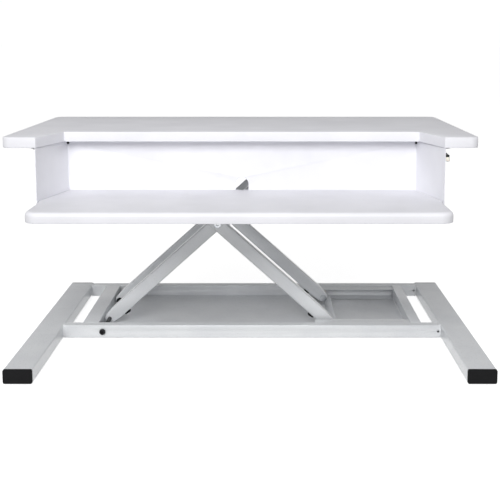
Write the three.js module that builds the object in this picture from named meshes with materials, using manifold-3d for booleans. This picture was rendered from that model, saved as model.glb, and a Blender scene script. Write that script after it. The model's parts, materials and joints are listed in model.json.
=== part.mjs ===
// Standing desk converter: a top board and a keyboard tray on a steel scissor lift.
// Millimetres. +X to the right, +Y to the rear, +Z up. The origin is on the surface it stands on,
// under the centre of the whole object, which is shown raised.
import * as THREE from 'three';
import { mergeVertices } from 'three/addons/utils/BufferGeometryUtils.js';
import Module from 'manifold-3d';

const wasm = await Module();
wasm.setup();

// ---- Overall sizes ----
const OVERALL_DEPTH = 550; // tray front to the rear caps
const BASE_WIDTH = 800; // over the two feet
const BOARD_WIDTH = 800;
const CENTRE_OFFSET = 17; // the raised deck stands this far left of the base

// ---- Base ----
const FOOT_WIDTH = 48;
const FOOT_HEIGHT = 24;
const TUBE_WALL = 1.5;
const TUBE_CORNER = 3;
const CAP_FLANGE = 4;
const CAP_PLUG = 14;
const PAD_HEIGHT = 2;
const PAD_LENGTH = 60;
const PAD_INSET = 30;
const PAD_SIDE_INSET = 5;
const PAD_CORNER = 6;
const PLUG_CORNER = 1;
const FOOT_SETBACK = 4; // the feet start this far behind the tray's front edge
const FRONT_BAR_Y = -35; // front face of the front crossbar
const BAR_DEPTH = 20;
const BAR_CORNER = 1.5;
const BAR_INNER_CORNER = 0.5;
const LEFT_MEMBER_WIDTH = 30;
const RIGHT_MEMBER_WIDTH = 20;
const PAN_THICKNESS = 1.5;
const VENT_RADIUS = 2.2;
const VENT_INSET = 4;
const LEFT_MEMBER_ROOM = 1.5; // from the round ends of the arms
const RIGHT_MEMBER_ROOM = 13; // from the axis of the lowered rollers

// ---- Scissor lift ----
const RAISED_ANGLE = 42; // degrees, arms to the horizontal
const LOWERED_ANGLE = 10;
const PIVOT_TO_FOOT = 73; // lower pivots to the left foot
const ROLLER_TO_FOOT = 65.72; // lowered rollers to the right foot
const ARM_LOWER = (BASE_WIDTH - 2 * FOOT_WIDTH - PIVOT_TO_FOOT - ROLLER_TO_FOOT)
  / (2 * Math.cos(THREE.MathUtils.degToRad(LOWERED_ANGLE))); // lower pivot to centre pivot
const ARM_UPPER = 235.5; // centre pivot to upper pivot
const ARM_HEIGHT = 25;
const ARM_WIDTH = 16;
const ARM_WALL = 1.5;
const ARM_SPACING = 6; // between an inner arm and its outer arm
const ARM_END_RADIUS = 9;
const ARM_TAPER = 20;
const DRAIN_RADIUS = 2.5;
const PIN_RADIUS = 4;
const PIN_CLEARANCE = 0.15;
const SHOULDER_RADIUS = 7;
const HEAD_RADIUS = 5.5;
const HEAD_LENGTH = 3.5;
const NUT_RADIUS = 6.5;
const NUT_LENGTH = 4;
const AXLE_HEAD = 2;
const AXLE_CLIP = 0.8; // thickness of the clip that keeps a roller on
const AXLE_CLIP_RIM = 1;
const PIN_HEAD = 2;
const PIN_HEAD_RIM = 1.5;
const RAIL_WALL = 1.2;
const RAIL_DEPTH = 26.5;
const RAIL_TO_ARM = 12.25; // from a rail's open side to the outer arm
const ROLLER_RADIUS = 8.7;
const ROLLER_WIDTH = 14;
const ROLLER_CLEARANCE = 0.3;
const ROLLER_SIDE_ROOM = 1.5;
const ROLLER_EDGE = 0.8;
const LOWER_RAIL_START = 28; // before the raised roller
const UPPER_RAIL_START = 30; // before the upper pivot
const UPPER_RAIL_END = 40; // past the lowered roller
const SPREADER_RADIUS = 10;
const ROUND_TUBE_WALL = 2;
const SPREADER_PLACE = 120; // along the upper half of the arm
const BUMPER_PLACE = 34; // from the lower pivot
const BUMPER_LENGTH = 12;
const BUMPER_DRAFT = 1;
const BUMPER_SIDE_INSET = 2;
const END_PLATE_THICKNESS = 2.5;
const END_PLATE_DROP = 4; // below the arms' middle line

// ---- Gas spring ----
const CRANK = 38; // centre pivot to the spring's lower pin
const CRANK_ANGLE = -111; // degrees, in the inner arm's own direction
const LEVER_IN = 13; // lever plates' inner faces, from the mid plane
const LEVER_THICKNESS = 4;
const TORQUE_TUBE_RADIUS = 12;
const LEVER_HUB_RADIUS = 17;
const LEVER_TIP_RADIUS = 9;
const SPRING_TOP_PLACE = 69.73; // to the right of the upper pivots
const SPRING_TOP_DROP = 10; // below the upper pivots
const SPRING_OFFSET_X = 0.95; // the eye stands this far off its pin when raised
const SPRING_OFFSET_Z = 2.8;
const CYLINDER_RADIUS = 10;
const CYLINDER_BORE = 7;
const ROD_SHOWN = 84.12; // from the cylinder's end to the upper pin, when raised
const CYLINDER_TAIL = 9;
const CYLINDER_FLOOR = 10; // where the bore ends, from the lower pin
const CYLINDER_GUIDE = 6; // length of the rod's guide
const CYLINDER_NOSE = 2;
const CYLINDER_EDGE = 0.8;
const END_CAP_LENGTH = 3;
const END_CAP_EDGE = 1.3;
const END_CAP_INSET = 0.2;
const ROD_RADIUS = 4;
const PISTON_PLACE = 63; // its lower face when raised, from the lower pin
const PISTON_LENGTH = 6;
const EYE_RADIUS = 9.5;
const EYE_HOLE = 6.5;
const EYE_THICKNESS = 8;
const EYE_PIN_RADIUS = 2.8;

// ---- Deck ----
const BOARD_THICKNESS = 18;
const BOARD_FRONT_Y = -169;
const BOARD_REAR_SETBACK = 14; // from the rear caps
const BOARD_CORNER = 14;
const CUTOUT_REAR_Y = -70;
const CUTOUT_REAR_INSET = 26.5; // on each side, from the cutout's front width
const TRAY_THICKNESS = 18;
const TRAY_CORNER = 24;
const TRAY_DROP = 90.3; // board underside to tray surface
const TRAY_SIDE_CLEARANCE = 10; // tray edge to foot, when centred
const HANGER_WALL = 1.5;
const HANGER_REAR_Y = -46; // front face of the hanger's back panel
const HANGER_REAR_INSET = 28; // on each side, from the tray's full width
const HANGER_TOP_FLANGE = 10;
const HANGER_BOTTOM_FLANGE = 20;
const CABLE_NOTCH_WIDTH = 23;
const CABLE_NOTCH_HEIGHT = 22.5;
const RELIEF_RADIUS = 2.6;
const CUT_PAST = 5; // how far a cut runs past the wall it goes through
const TIE_THICKNESS = 4;
const TIE_WIDTH = 24;
const SPRING_TIE_WIDTH = 40;
const EAR_IN = 6;
const EAR_THICKNESS = 3;
const EAR_HALF_WIDTH = 8;
const EAR_BELOW_PIN = 7;
const CABLE_STOP_THICKNESS = 3;
const CABLE_STOP_HALF_WIDTH = 6;
const CABLE_STOP_DROP = 10;

// ---- Release lever ----
const LEVER_TO_TRAY = 5.7; // its middle, outside the tray's edge
const LEVER_WIDTH = 5.5;
const LEVER_PIN_Y = -95;
const LEVER_PIN_DROP = 13; // below the board
const LEVER_PIN_RADIUS = 2;
const LEVER_REACH = 72; // pin to tip
const LEVER_TAIL = 18;
const LEVER_HALF_HEIGHT = 5; // at the pin
const LEVER_THIN = 1; // above the pin's height, along the handle
const FINGER_DROP = 9;
const FINGER_LENGTH = 12;
const FINGER_SLOPE = 10;
const LEVER_PIN_HEAD = 1.5;
const LEVER_PIN_RIM = 1.2;
const BRACKET_WALL = 1.5;
const BRACKET_ROOM = 1; // beside the lever
const BRACKET_BELOW_PIN = 4;
const BRACKET_HALF_LENGTH = 15;
const CABLE_RADIUS = 2.5;
const CABLE_LEAN = 4; // how far it leans in behind the hanger
const CABLE_ROOM = 40; // from the end of the front upper rail

const GAP = 0.25; // between pieces that are welded, screwed or seated together
const SEGMENTS = 16;
const RIGHT_THROUGH = 200; // more than any wall, for cuts that run right through

// ---- Places worked out from the sizes ----
const radians = (degrees) => THREE.MathUtils.degToRad(degrees);
const BASE_X = CENTRE_OFFSET / 2;
const DECK_X = -CENTRE_OFFSET / 2;
const FOOT_FRONT_Y = -OVERALL_DEPTH / 2 + FOOT_SETBACK;
const FOOT_REAR_Y = OVERALL_DEPTH / 2;
const BASE_BOTTOM = PAD_HEIGHT;
const FOOT_CENTRE_X = BASE_WIDTH / 2 - FOOT_WIDTH / 2;
const REAR_BAR_Y = FOOT_REAR_Y - CAP_FLANGE - BAR_DEPTH;
const MID_Y = (FRONT_BAR_Y + BAR_DEPTH + REAR_BAR_Y) / 2;
const HALF_BAY = (REAR_BAR_Y - FRONT_BAR_Y - BAR_DEPTH) / 2;
const PAN_TOP = BASE_BOTTOM + PAN_THICKNESS;
const RAIL_HALF = ROLLER_RADIUS + ROLLER_CLEARANCE + RAIL_WALL;
const PIVOT_Z = PAN_TOP + ROLLER_CLEARANCE + RAIL_HALF;
const ARM_LENGTH = ARM_LOWER + ARM_UPPER;
const RAIL_OUT = HALF_BAY - GAP;
const RAIL_IN = RAIL_OUT - RAIL_DEPTH;
const OUTER_OUT = RAIL_IN - RAIL_TO_ARM;
const OUTER_IN = OUTER_OUT - ARM_WIDTH;
const INNER_OUT = OUTER_IN - ARM_SPACING;
const INNER_IN = INNER_OUT - ARM_WIDTH;
const ROLLER_MID = RAIL_OUT - RAIL_WALL - ROLLER_SIDE_ROOM - ROLLER_WIDTH / 2;
const PIN_HOLE = PIN_RADIUS + PIN_CLEARANCE;
const cosine = (angle) => Math.cos(radians(angle));
const sine = (angle) => Math.sin(radians(angle));
const LOWER_PIVOT_X = -BASE_WIDTH / 2 + FOOT_WIDTH + PIVOT_TO_FOOT;
const CENTRE_X = LOWER_PIVOT_X + ARM_LOWER * cosine(RAISED_ANGLE);
const CENTRE_Z = PIVOT_Z + ARM_LOWER * sine(RAISED_ANGLE);
const UPPER_PIVOT_X = CENTRE_X - ARM_UPPER * cosine(RAISED_ANGLE);
const UPPER_PIVOT_Z = PIVOT_Z + ARM_LENGTH * sine(RAISED_ANGLE);
const LOWER_ROLLER_X = LOWER_PIVOT_X + 2 * ARM_LOWER * cosine(RAISED_ANGLE);
const LOWER_ROLLER_MAX_X = LOWER_PIVOT_X + 2 * ARM_LOWER * cosine(LOWERED_ANGLE);
const UPPER_ROLLER_MAX_X = UPPER_PIVOT_X + 2 * ARM_UPPER * cosine(LOWERED_ANGLE);
const LEFT_MEMBER_X = LOWER_PIVOT_X - ARM_END_RADIUS - LEFT_MEMBER_ROOM; // right face
const RIGHT_MEMBER_X = LOWER_ROLLER_MAX_X + RIGHT_MEMBER_ROOM; // left face
const UPPER_RAIL_END_X = UPPER_ROLLER_MAX_X + CENTRE_OFFSET + UPPER_RAIL_END;
const BOARD_BOTTOM = UPPER_PIVOT_Z + RAIL_HALF + GAP;
const BOARD_TOP = BOARD_BOTTOM + BOARD_THICKNESS;
const BOARD_REAR_Y = FOOT_REAR_Y - BOARD_REAR_SETBACK;
const TRAY_HALF = BASE_WIDTH / 2 - FOOT_WIDTH - TRAY_SIDE_CLEARANCE;
const LEVER_X = TRAY_HALF + LEVER_TO_TRAY;
const TRAY_TOP = BOARD_BOTTOM - TRAY_DROP;
const TRAY_BOTTOM = TRAY_TOP - TRAY_THICKNESS;
const TRAY_FRONT_Y = -OVERALL_DEPTH / 2;
const HANGER_TOP = BOARD_BOTTOM - GAP;
const HANGER_BOTTOM = TRAY_BOTTOM - GAP - HANGER_WALL;
const HANGER_REAR_HALF = TRAY_HALF - HANGER_REAR_INSET;
const SPRING_TOP_X = UPPER_PIVOT_X + SPRING_TOP_PLACE;
const SPRING_TOP_Z = UPPER_PIVOT_Z - SPRING_TOP_DROP;
const SPRING_BOTTOM_X = CENTRE_X + CRANK * cosine(RAISED_ANGLE + CRANK_ANGLE);
const SPRING_BOTTOM_Z = CENTRE_Z + CRANK * sine(RAISED_ANGLE + CRANK_ANGLE);
const EYE_X = SPRING_TOP_X + SPRING_OFFSET_X;
const EYE_Z = SPRING_TOP_Z + SPRING_OFFSET_Z;
const SPRING_LENGTH = Math.hypot(EYE_X - SPRING_BOTTOM_X, EYE_Z - SPRING_BOTTOM_Z);
const SPRING_ANGLE = Math.atan2(EYE_Z - SPRING_BOTTOM_Z, EYE_X - SPRING_BOTTOM_X);
const CYLINDER_LENGTH = SPRING_LENGTH - ROD_SHOWN; // from the lower pin

// ---- Materials ----
const finishes = {
  frame_paint: { color: 0xd4d7da, roughness: 0.42, metalness: 0.35 },
  white_sheet: { color: 0xf1f2f4, roughness: 0.45, metalness: 0.1 },
  white_board: { color: 0xf4f4f5, roughness: 0.38, metalness: 0 },
  black_plastic: { color: 0x161718, roughness: 0.5, metalness: 0 },
  black_rubber: { color: 0x101011, roughness: 0.85, metalness: 0 },
  zinc_steel: { color: 0xb4b8bc, roughness: 0.32, metalness: 0.95 },
  black_steel: { color: 0x1c1d1f, roughness: 0.4, metalness: 0.7 },
  spring_paint: { color: 0x4a4c4f, roughness: 0.35, metalness: 0.5 },
  bright_rod: { color: 0xd8dadd, roughness: 0.12, metalness: 1 },
  nylon: { color: 0xe6e4dc, roughness: 0.5, metalness: 0 },
};

// Adds one named piece with its own material to a group.
function add(group, name, geometry, finish) {
  const mesh = new THREE.Mesh(geometry, new THREE.MeshStandardMaterial(finishes[finish]));
  mesh.name = name;
  group.add(mesh);
}

// ---- Shape helpers ----

// Turns a closed three.js geometry into a solid that can be joined or cut.
function solid(geometry) {
  const bare = geometry.clone();
  bare.deleteAttribute('normal');
  bare.deleteAttribute('uv');
  const merged = mergeVertices(bare, 1e-4);
  return new wasm.Manifold(new wasm.Mesh({
    numProp: 3,
    vertProperties: new Float32Array(merged.attributes.position.array),
    triVerts: new Uint32Array(merged.index.array),
  }));
}

// Joins and cuts whole geometries and gives back one geometry.
function combine(body, { join = [], cut = [] }) {
  let result = solid(body);
  for (const piece of join) {
    result = result.add(solid(piece));
  }
  for (const piece of cut) {
    result = result.subtract(solid(piece));
  }
  const mesh = result.getMesh();
  const geometry = new THREE.BufferGeometry();
  geometry.setAttribute('position', new THREE.BufferAttribute(new Float32Array(mesh.vertProperties), 3));
  geometry.setIndex(new THREE.BufferAttribute(new Uint32Array(mesh.triVerts), 1));
  return geometry;
}

function block(x0, x1, y0, y1, z0, z1) {
  const geometry = new THREE.BoxGeometry(x1 - x0, y1 - y0, z1 - z0);
  return geometry.translate((x0 + x1) / 2, (y0 + y1) / 2, (z0 + z1) / 2);
}

// A round bar along Y.
function barY(radius, x, z, y0, y1) {
  const geometry = new THREE.CylinderGeometry(radius, radius, y1 - y0, SEGMENTS);
  return geometry.translate(x, (y0 + y1) / 2, z);
}

function polygon(points) {
  return new THREE.Shape(points.map(([x, y]) => new THREE.Vector2(x, y)));
}

function roundedRectangle(width, height, radius) {
  const shape = new THREE.Shape();
  const x = width / 2;
  const y = height / 2;
  shape.moveTo(-x + radius, -y);
  shape.lineTo(x - radius, -y);
  shape.absarc(x - radius, -y + radius, radius, -Math.PI / 2, 0, false);
  shape.lineTo(x, y - radius);
  shape.absarc(x - radius, y - radius, radius, 0, Math.PI / 2, false);
  shape.lineTo(-x + radius, y);
  shape.absarc(-x + radius, y - radius, radius, Math.PI / 2, Math.PI, false);
  shape.lineTo(-x, -y + radius);
  shape.absarc(-x + radius, -y + radius, radius, Math.PI, Math.PI * 1.5, false);
  return shape;
}

// Pushes a flat shape out from one coordinate to another: 'z' reads it as (x, y), 'y' as (x, z)
// and 'x' as (y, z).
function extrude(shape, along, from, to) {
  const settings = { depth: to - from, bevelEnabled: false, curveSegments: 3 };
  const geometry = new THREE.ExtrudeGeometry(shape, settings);
  if (along === 'z') {
    return geometry.translate(0, 0, from);
  }
  if (along === 'y') {
    return geometry.rotateX(Math.PI / 2).translate(0, to, 0);
  }
  const turn = new THREE.Matrix4().makeBasis(
    new THREE.Vector3(0, 1, 0),
    new THREE.Vector3(0, 0, 1),
    new THREE.Vector3(1, 0, 0),
  );
  return geometry.applyMatrix4(turn).translate(from, 0, 0);
}

// A turned pin along Y from a list of [radius, distance from the mid plane]. The front one points
// the other way.
function turned(steps, side, x, z) {
  const profile = [new THREE.Vector2(0, steps[0][1])];
  for (const [radius, distance] of steps) {
    profile.push(new THREE.Vector2(radius, distance));
  }
  profile.push(new THREE.Vector2(0, steps[steps.length - 1][1]));
  const geometry = new THREE.LatheGeometry(profile, SEGMENTS);
  if (side < 0) {
    geometry.rotateX(Math.PI);
  }
  return geometry.translate(x, MID_Y, z);
}

// The range of Y between two distances from the mid plane, on one side of it.
function acrossY(side, near, far) {
  return side > 0 ? [MID_Y + near, MID_Y + far] : [MID_Y - far, MID_Y - near];
}

const SIDES = [['front', -1], ['rear', 1]];
const HANDS = [['left', -1], ['right', 1]];

// ---- Base ----

function footTube(hand) {
  const outer = roundedRectangle(FOOT_WIDTH, FOOT_HEIGHT, TUBE_CORNER);
  outer.holes.push(
    roundedRectangle(FOOT_WIDTH - 2 * TUBE_WALL, FOOT_HEIGHT - 2 * TUBE_WALL, TUBE_CORNER - TUBE_WALL),
  );
  const tube = extrude(outer, 'y', FOOT_FRONT_Y + CAP_FLANGE + GAP, FOOT_REAR_Y - CAP_FLANGE - GAP);
  return tube.translate(hand * FOOT_CENTRE_X, 0, BASE_BOTTOM + FOOT_HEIGHT / 2);
}

function footCap(hand, side) {
  const end = side < 0 ? FOOT_FRONT_Y : FOOT_REAR_Y;
  const inward = -side;
  const flangeEnd = end + inward * CAP_FLANGE;
  const plugEnd = flangeEnd + inward * CAP_PLUG;
  const plugWidth = FOOT_WIDTH - 2 * TUBE_WALL - 2 * GAP;
  const plugHeight = FOOT_HEIGHT - 2 * TUBE_WALL - 2 * GAP;
  const flange = extrude(
    roundedRectangle(FOOT_WIDTH, FOOT_HEIGHT, TUBE_CORNER),
    'y', Math.min(end, flangeEnd), Math.max(end, flangeEnd),
  );
  const plug = extrude(
    roundedRectangle(plugWidth, plugHeight, PLUG_CORNER),
    'y', Math.min(end + inward, plugEnd), Math.max(end + inward, plugEnd),
  );
  return combine(flange, { join: [plug] })
    .translate(hand * FOOT_CENTRE_X, 0, BASE_BOTTOM + FOOT_HEIGHT / 2);
}

function footPad(hand, side) {
  const end = side < 0 ? FOOT_FRONT_Y : FOOT_REAR_Y;
  const shape = roundedRectangle(FOOT_WIDTH - 2 * PAD_SIDE_INSET, PAD_LENGTH, PAD_CORNER);
  const middle = end - side * (PAD_INSET + PAD_LENGTH / 2);
  return extrude(shape, 'z', 0, PAD_HEIGHT - GAP).translate(hand * FOOT_CENTRE_X, middle, 0);
}

// A rectangular tube along X or Y with open ends, in the base's height.
function hollowBar(along, from, to, across, width) {
  const outer = roundedRectangle(width, FOOT_HEIGHT, BAR_CORNER);
  outer.holes.push(
    roundedRectangle(width - 2 * TUBE_WALL, FOOT_HEIGHT - 2 * TUBE_WALL, BAR_INNER_CORNER),
  );
  const bar = extrude(outer, along, from, to);
  const middle = BASE_BOTTOM + FOOT_HEIGHT / 2;
  return along === 'x' ? bar.translate(0, across, middle) : bar.translate(across, 0, middle);
}

function crossbar(side) {
  const half = BASE_WIDTH / 2 - FOOT_WIDTH - GAP;
  const y = side < 0 ? FRONT_BAR_Y : REAR_BAR_Y;
  const pivotHole = barY(
    PIN_HOLE, LOWER_PIVOT_X, PIVOT_Z, y - CUT_PAST, y + BAR_DEPTH + CUT_PAST,
  );
  const vent = barY(VENT_RADIUS, half - VENT_INSET, PIVOT_Z, y - CUT_PAST, y + BAR_DEPTH / 2);
  return combine(hollowBar('x', -half, half, y + BAR_DEPTH / 2, BAR_DEPTH), { cut: [pivotHole, vent] });
}

function crossMember(leftFace, width) {
  const from = FRONT_BAR_Y + BAR_DEPTH + GAP;
  return hollowBar('y', from, REAR_BAR_Y - GAP, leftFace + width / 2, width);
}

function basePan() {
  return block(
    LEFT_MEMBER_X + GAP, RIGHT_MEMBER_X - GAP,
    FRONT_BAR_Y + BAR_DEPTH + GAP, REAR_BAR_Y - GAP,
    BASE_BOTTOM, PAN_TOP,
  );
}

// A C-shaped rail along X whose open side faces the mid plane.
function rail(side, x0, x1, z) {
  const near = side * RAIL_IN;
  const far = side * RAIL_OUT;
  const web = side * (RAIL_OUT - RAIL_WALL);
  const section = polygon([
    [far, -RAIL_HALF],
    [near, -RAIL_HALF],
    [near, -RAIL_HALF + RAIL_WALL],
    [web, -RAIL_HALF + RAIL_WALL],
    [web, RAIL_HALF - RAIL_WALL],
    [near, RAIL_HALF - RAIL_WALL],
    [near, RAIL_HALF],
    [far, RAIL_HALF],
  ]);
  return extrude(section, 'x', x0, x1).translate(0, MID_Y, z);
}

// A shoulder bolt that holds an arm's fixed end. Its head sits outside a wall of the given depth.
function pivotBolt(side, x, z, wallIn, wallOut, armOut, armIn) {
  return turned([
    [NUT_RADIUS, armIn - GAP - NUT_LENGTH],
    [NUT_RADIUS, armIn - GAP],
    [PIN_RADIUS, armIn - GAP],
    [PIN_RADIUS, armOut + GAP],
    [SHOULDER_RADIUS, armOut + GAP],
    [SHOULDER_RADIUS, wallIn - GAP],
    [PIN_RADIUS, wallIn - GAP],
    [PIN_RADIUS, wallOut + GAP],
    [HEAD_RADIUS, wallOut + GAP],
    [HEAD_RADIUS - 1, wallOut + GAP + HEAD_LENGTH],
  ], side, x, z);
}

function base() {
  const group = new THREE.Group();
  group.position.x = BASE_X;
  for (const [hand, handSign] of HANDS) {
    add(group, `${hand}_foot_tube`, footTube(handSign), 'frame_paint');
    for (const [side, sideSign] of SIDES) {
      add(group, `${side}_${hand}_foot_cap`, footCap(handSign, sideSign), 'black_plastic');
      add(group, `${side}_${hand}_foot_pad`, footPad(handSign, sideSign), 'black_rubber');
    }
  }
  for (const [side, sign] of SIDES) {
    add(group, `${side}_crossbar`, crossbar(sign), 'frame_paint');
    const lowerRail = rail(
      sign, LOWER_ROLLER_X - LOWER_RAIL_START, RIGHT_MEMBER_X - GAP, PIVOT_Z,
    );
    add(group, `${side}_lower_rail`, lowerRail, 'frame_paint');
    const bolt = pivotBolt(
      sign, LOWER_PIVOT_X, PIVOT_Z, HALF_BAY, HALF_BAY + BAR_DEPTH, INNER_OUT, INNER_IN,
    );
    add(group, `${side}_lower_pivot_bolt`, bolt, 'black_steel');
  }
  const leftMember = crossMember(LEFT_MEMBER_X - LEFT_MEMBER_WIDTH, LEFT_MEMBER_WIDTH);
  add(group, 'left_cross_member', leftMember, 'frame_paint');
  add(group, 'right_cross_member', crossMember(RIGHT_MEMBER_X, RIGHT_MEMBER_WIDTH), 'frame_paint');
  add(group, 'base_pan', basePan(), 'frame_paint');
  return group;
}

// ---- Scissor arms ----
// Both arm frames are drawn level, with +X along the arm from its lower end at x = 0.

// One arm: a rectangular tube with closed, narrowed ends and a drain hole in its lower wall.
function arm(side, near, far) {
  const half = ARM_HEIGHT / 2;
  const shape = new THREE.Shape();
  shape.moveTo(ARM_TAPER, -half);
  shape.lineTo(ARM_LENGTH - ARM_TAPER, -half);
  shape.lineTo(ARM_LENGTH, -ARM_END_RADIUS);
  shape.absarc(ARM_LENGTH, 0, ARM_END_RADIUS, -Math.PI / 2, Math.PI / 2, false);
  shape.lineTo(ARM_LENGTH - ARM_TAPER, half);
  shape.lineTo(ARM_TAPER, half);
  shape.lineTo(0, ARM_END_RADIUS);
  shape.absarc(0, 0, ARM_END_RADIUS, Math.PI / 2, Math.PI * 1.5, false);
  const [y0, y1] = acrossY(side, near, far);
  const inside = half - ARM_WALL;
  const hollow = block(
    ARM_TAPER, ARM_LENGTH - ARM_TAPER, y0 + ARM_WALL, y1 - ARM_WALL, -inside, inside,
  );
  const drain = new THREE.CylinderGeometry(DRAIN_RADIUS, DRAIN_RADIUS, 4 * ARM_WALL, SEGMENTS);
  drain.rotateX(Math.PI / 2);
  drain.translate(ARM_LENGTH - 2 * ARM_TAPER, (y0 + y1) / 2, -half);
  const holes = [0, ARM_LOWER, ARM_LENGTH].map((x) => barY(
    PIN_HOLE, x, 0, y0 - CUT_PAST, y1 + CUT_PAST,
  ));
  return combine(extrude(shape, 'y', y0, y1), { cut: [hollow, drain, ...holes] });
}

// A rubber stop under an arm, cut so that it meets the pan flat when the lift is down.
function bumper(side, near, far) {
  const top = -ARM_HEIGHT / 2 - GAP;
  const bottomAt = (x) => {
    const rise = PIVOT_Z + x * sine(LOWERED_ANGLE) - PAN_TOP - 2 * GAP;
    return -rise / cosine(LOWERED_ANGLE);
  };
  const x0 = BUMPER_PLACE - BUMPER_LENGTH / 2;
  const x1 = BUMPER_PLACE + BUMPER_LENGTH / 2;
  const shape = polygon([
    [x0, top],
    [x0 + BUMPER_DRAFT, bottomAt(x0 + BUMPER_DRAFT)],
    [x1 - BUMPER_DRAFT, bottomAt(x1 - BUMPER_DRAFT)],
    [x1, top],
  ]);
  const [y0, y1] = acrossY(side, near + BUMPER_SIDE_INSET, far - BUMPER_SIDE_INSET);
  return extrude(shape, 'y', y0, y1);
}

// A pin through an arm's end that carries a roller outboard of it.
function rollerAxle(side, x, armIn) {
  const rollerEnd = ROLLER_MID + ROLLER_WIDTH / 2 + GAP;
  return turned([
    [NUT_RADIUS, armIn - GAP - AXLE_HEAD],
    [NUT_RADIUS, armIn - GAP],
    [PIN_RADIUS, armIn - GAP],
    [PIN_RADIUS, rollerEnd],
    [PIN_RADIUS + AXLE_CLIP_RIM, rollerEnd],
    [PIN_RADIUS + AXLE_CLIP_RIM, rollerEnd + AXLE_CLIP],
  ], side, x, 0);
}

function roller(side, x, z) {
  const [y0, y1] = acrossY(side, ROLLER_MID - ROLLER_WIDTH / 2, ROLLER_MID + ROLLER_WIDTH / 2);
  const profile = [
    [PIN_HOLE, y0],
    [ROLLER_RADIUS - ROLLER_EDGE, y0],
    [ROLLER_RADIUS, y0 + ROLLER_EDGE],
    [ROLLER_RADIUS, y1 - ROLLER_EDGE],
    [ROLLER_RADIUS - ROLLER_EDGE, y1],
    [PIN_HOLE, y1],
    [PIN_HOLE, y0],
  ].map(([radius, y]) => new THREE.Vector2(radius, y));
  return new THREE.LatheGeometry(profile, SEGMENTS).translate(x, 0, z);
}

// One side of the crank that carries the spring's lower pin: a short tube welded to the inner arm,
// with a plate on its end.
function springLever(side) {
  const [tubeY0, tubeY1] = acrossY(side, LEVER_IN + LEVER_THICKNESS / 2, INNER_IN - GAP);
  const [plateY0, plateY1] = acrossY(side, LEVER_IN, LEVER_IN + LEVER_THICKNESS);
  const pinX = ARM_LOWER + CRANK * cosine(CRANK_ANGLE);
  const pinZ = CRANK * sine(CRANK_ANGLE);
  const tilt = Math.asin((LEVER_HUB_RADIUS - LEVER_TIP_RADIUS) / CRANK);
  const start = radians(CRANK_ANGLE) + Math.PI / 2 + tilt;
  const end = radians(CRANK_ANGLE) - Math.PI / 2 - tilt;
  const shape = new THREE.Shape();
  shape.absarc(ARM_LOWER, 0, LEVER_HUB_RADIUS, start, end + 2 * Math.PI, false);
  shape.absarc(pinX, pinZ, LEVER_TIP_RADIUS, end, start, false);
  const plate = extrude(shape, 'y', plateY0, plateY1);
  const tube = barY(TORQUE_TUBE_RADIUS, ARM_LOWER, 0, tubeY0, tubeY1);
  const bore = barY(
    TORQUE_TUBE_RADIUS - ROUND_TUBE_WALL, ARM_LOWER, 0,
    MID_Y - RIGHT_THROUGH, MID_Y + RIGHT_THROUGH,
  );
  const pinHole = barY(PIN_HOLE, pinX, pinZ, MID_Y - RIGHT_THROUGH, MID_Y + RIGHT_THROUGH);
  return combine(plate, { join: [tube], cut: [bore, pinHole] });
}

function springLowerPin() {
  const pinX = ARM_LOWER + CRANK * cosine(CRANK_ANGLE);
  const pinZ = CRANK * sine(CRANK_ANGLE);
  const end = LEVER_IN + LEVER_THICKNESS + GAP;
  return turned([
    [PIN_RADIUS + PIN_HEAD_RIM, -end - PIN_HEAD],
    [PIN_RADIUS + PIN_HEAD_RIM, -end],
    [PIN_RADIUS, -end],
    [PIN_RADIUS, end],
    [PIN_RADIUS + PIN_HEAD_RIM, end],
    [PIN_RADIUS + PIN_HEAD_RIM, end + PIN_HEAD],
  ], 1, pinX, pinZ);
}

function innerArms() {
  const group = new THREE.Group();
  group.position.set(BASE_X + LOWER_PIVOT_X, 0, PIVOT_Z);
  group.rotation.y = -radians(RAISED_ANGLE);
  for (const [side, sign] of SIDES) {
    add(group, `${side}_inner_arm`, arm(sign, INNER_IN, INNER_OUT), 'frame_paint');
    add(group, `${side}_inner_bumper`, bumper(sign, INNER_IN, INNER_OUT), 'black_rubber');
    add(group, `${side}_spring_lever`, springLever(sign), 'frame_paint');
    add(group, `${side}_upper_roller_axle`, rollerAxle(sign, ARM_LENGTH, INNER_IN), 'zinc_steel');
  }
  const spreaderX = ARM_LOWER + SPREADER_PLACE;
  const reach = INNER_IN - GAP;
  const spreader = combine(barY(SPREADER_RADIUS, spreaderX, 0, MID_Y - reach, MID_Y + reach), {
    cut: [barY(
      SPREADER_RADIUS - ROUND_TUBE_WALL, spreaderX, 0, MID_Y - RIGHT_THROUGH, MID_Y + RIGHT_THROUGH,
    )],
  });
  add(group, 'spreader_tube', spreader, 'frame_paint');
  add(group, 'spring_lower_pin', springLowerPin(), 'zinc_steel');
  return group;
}

// The plate that joins the lower ends of the outer arms, square to them, past the roller axles.
function endPlate() {
  const reach = OUTER_IN - GAP;
  const far = -NUT_RADIUS - 2 * GAP - END_PLATE_THICKNESS;
  const plateX = [far, far + END_PLATE_THICKNESS];
  return block(...plateX, MID_Y - reach, MID_Y + reach, -END_PLATE_DROP, ARM_HEIGHT / 2);
}

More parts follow.
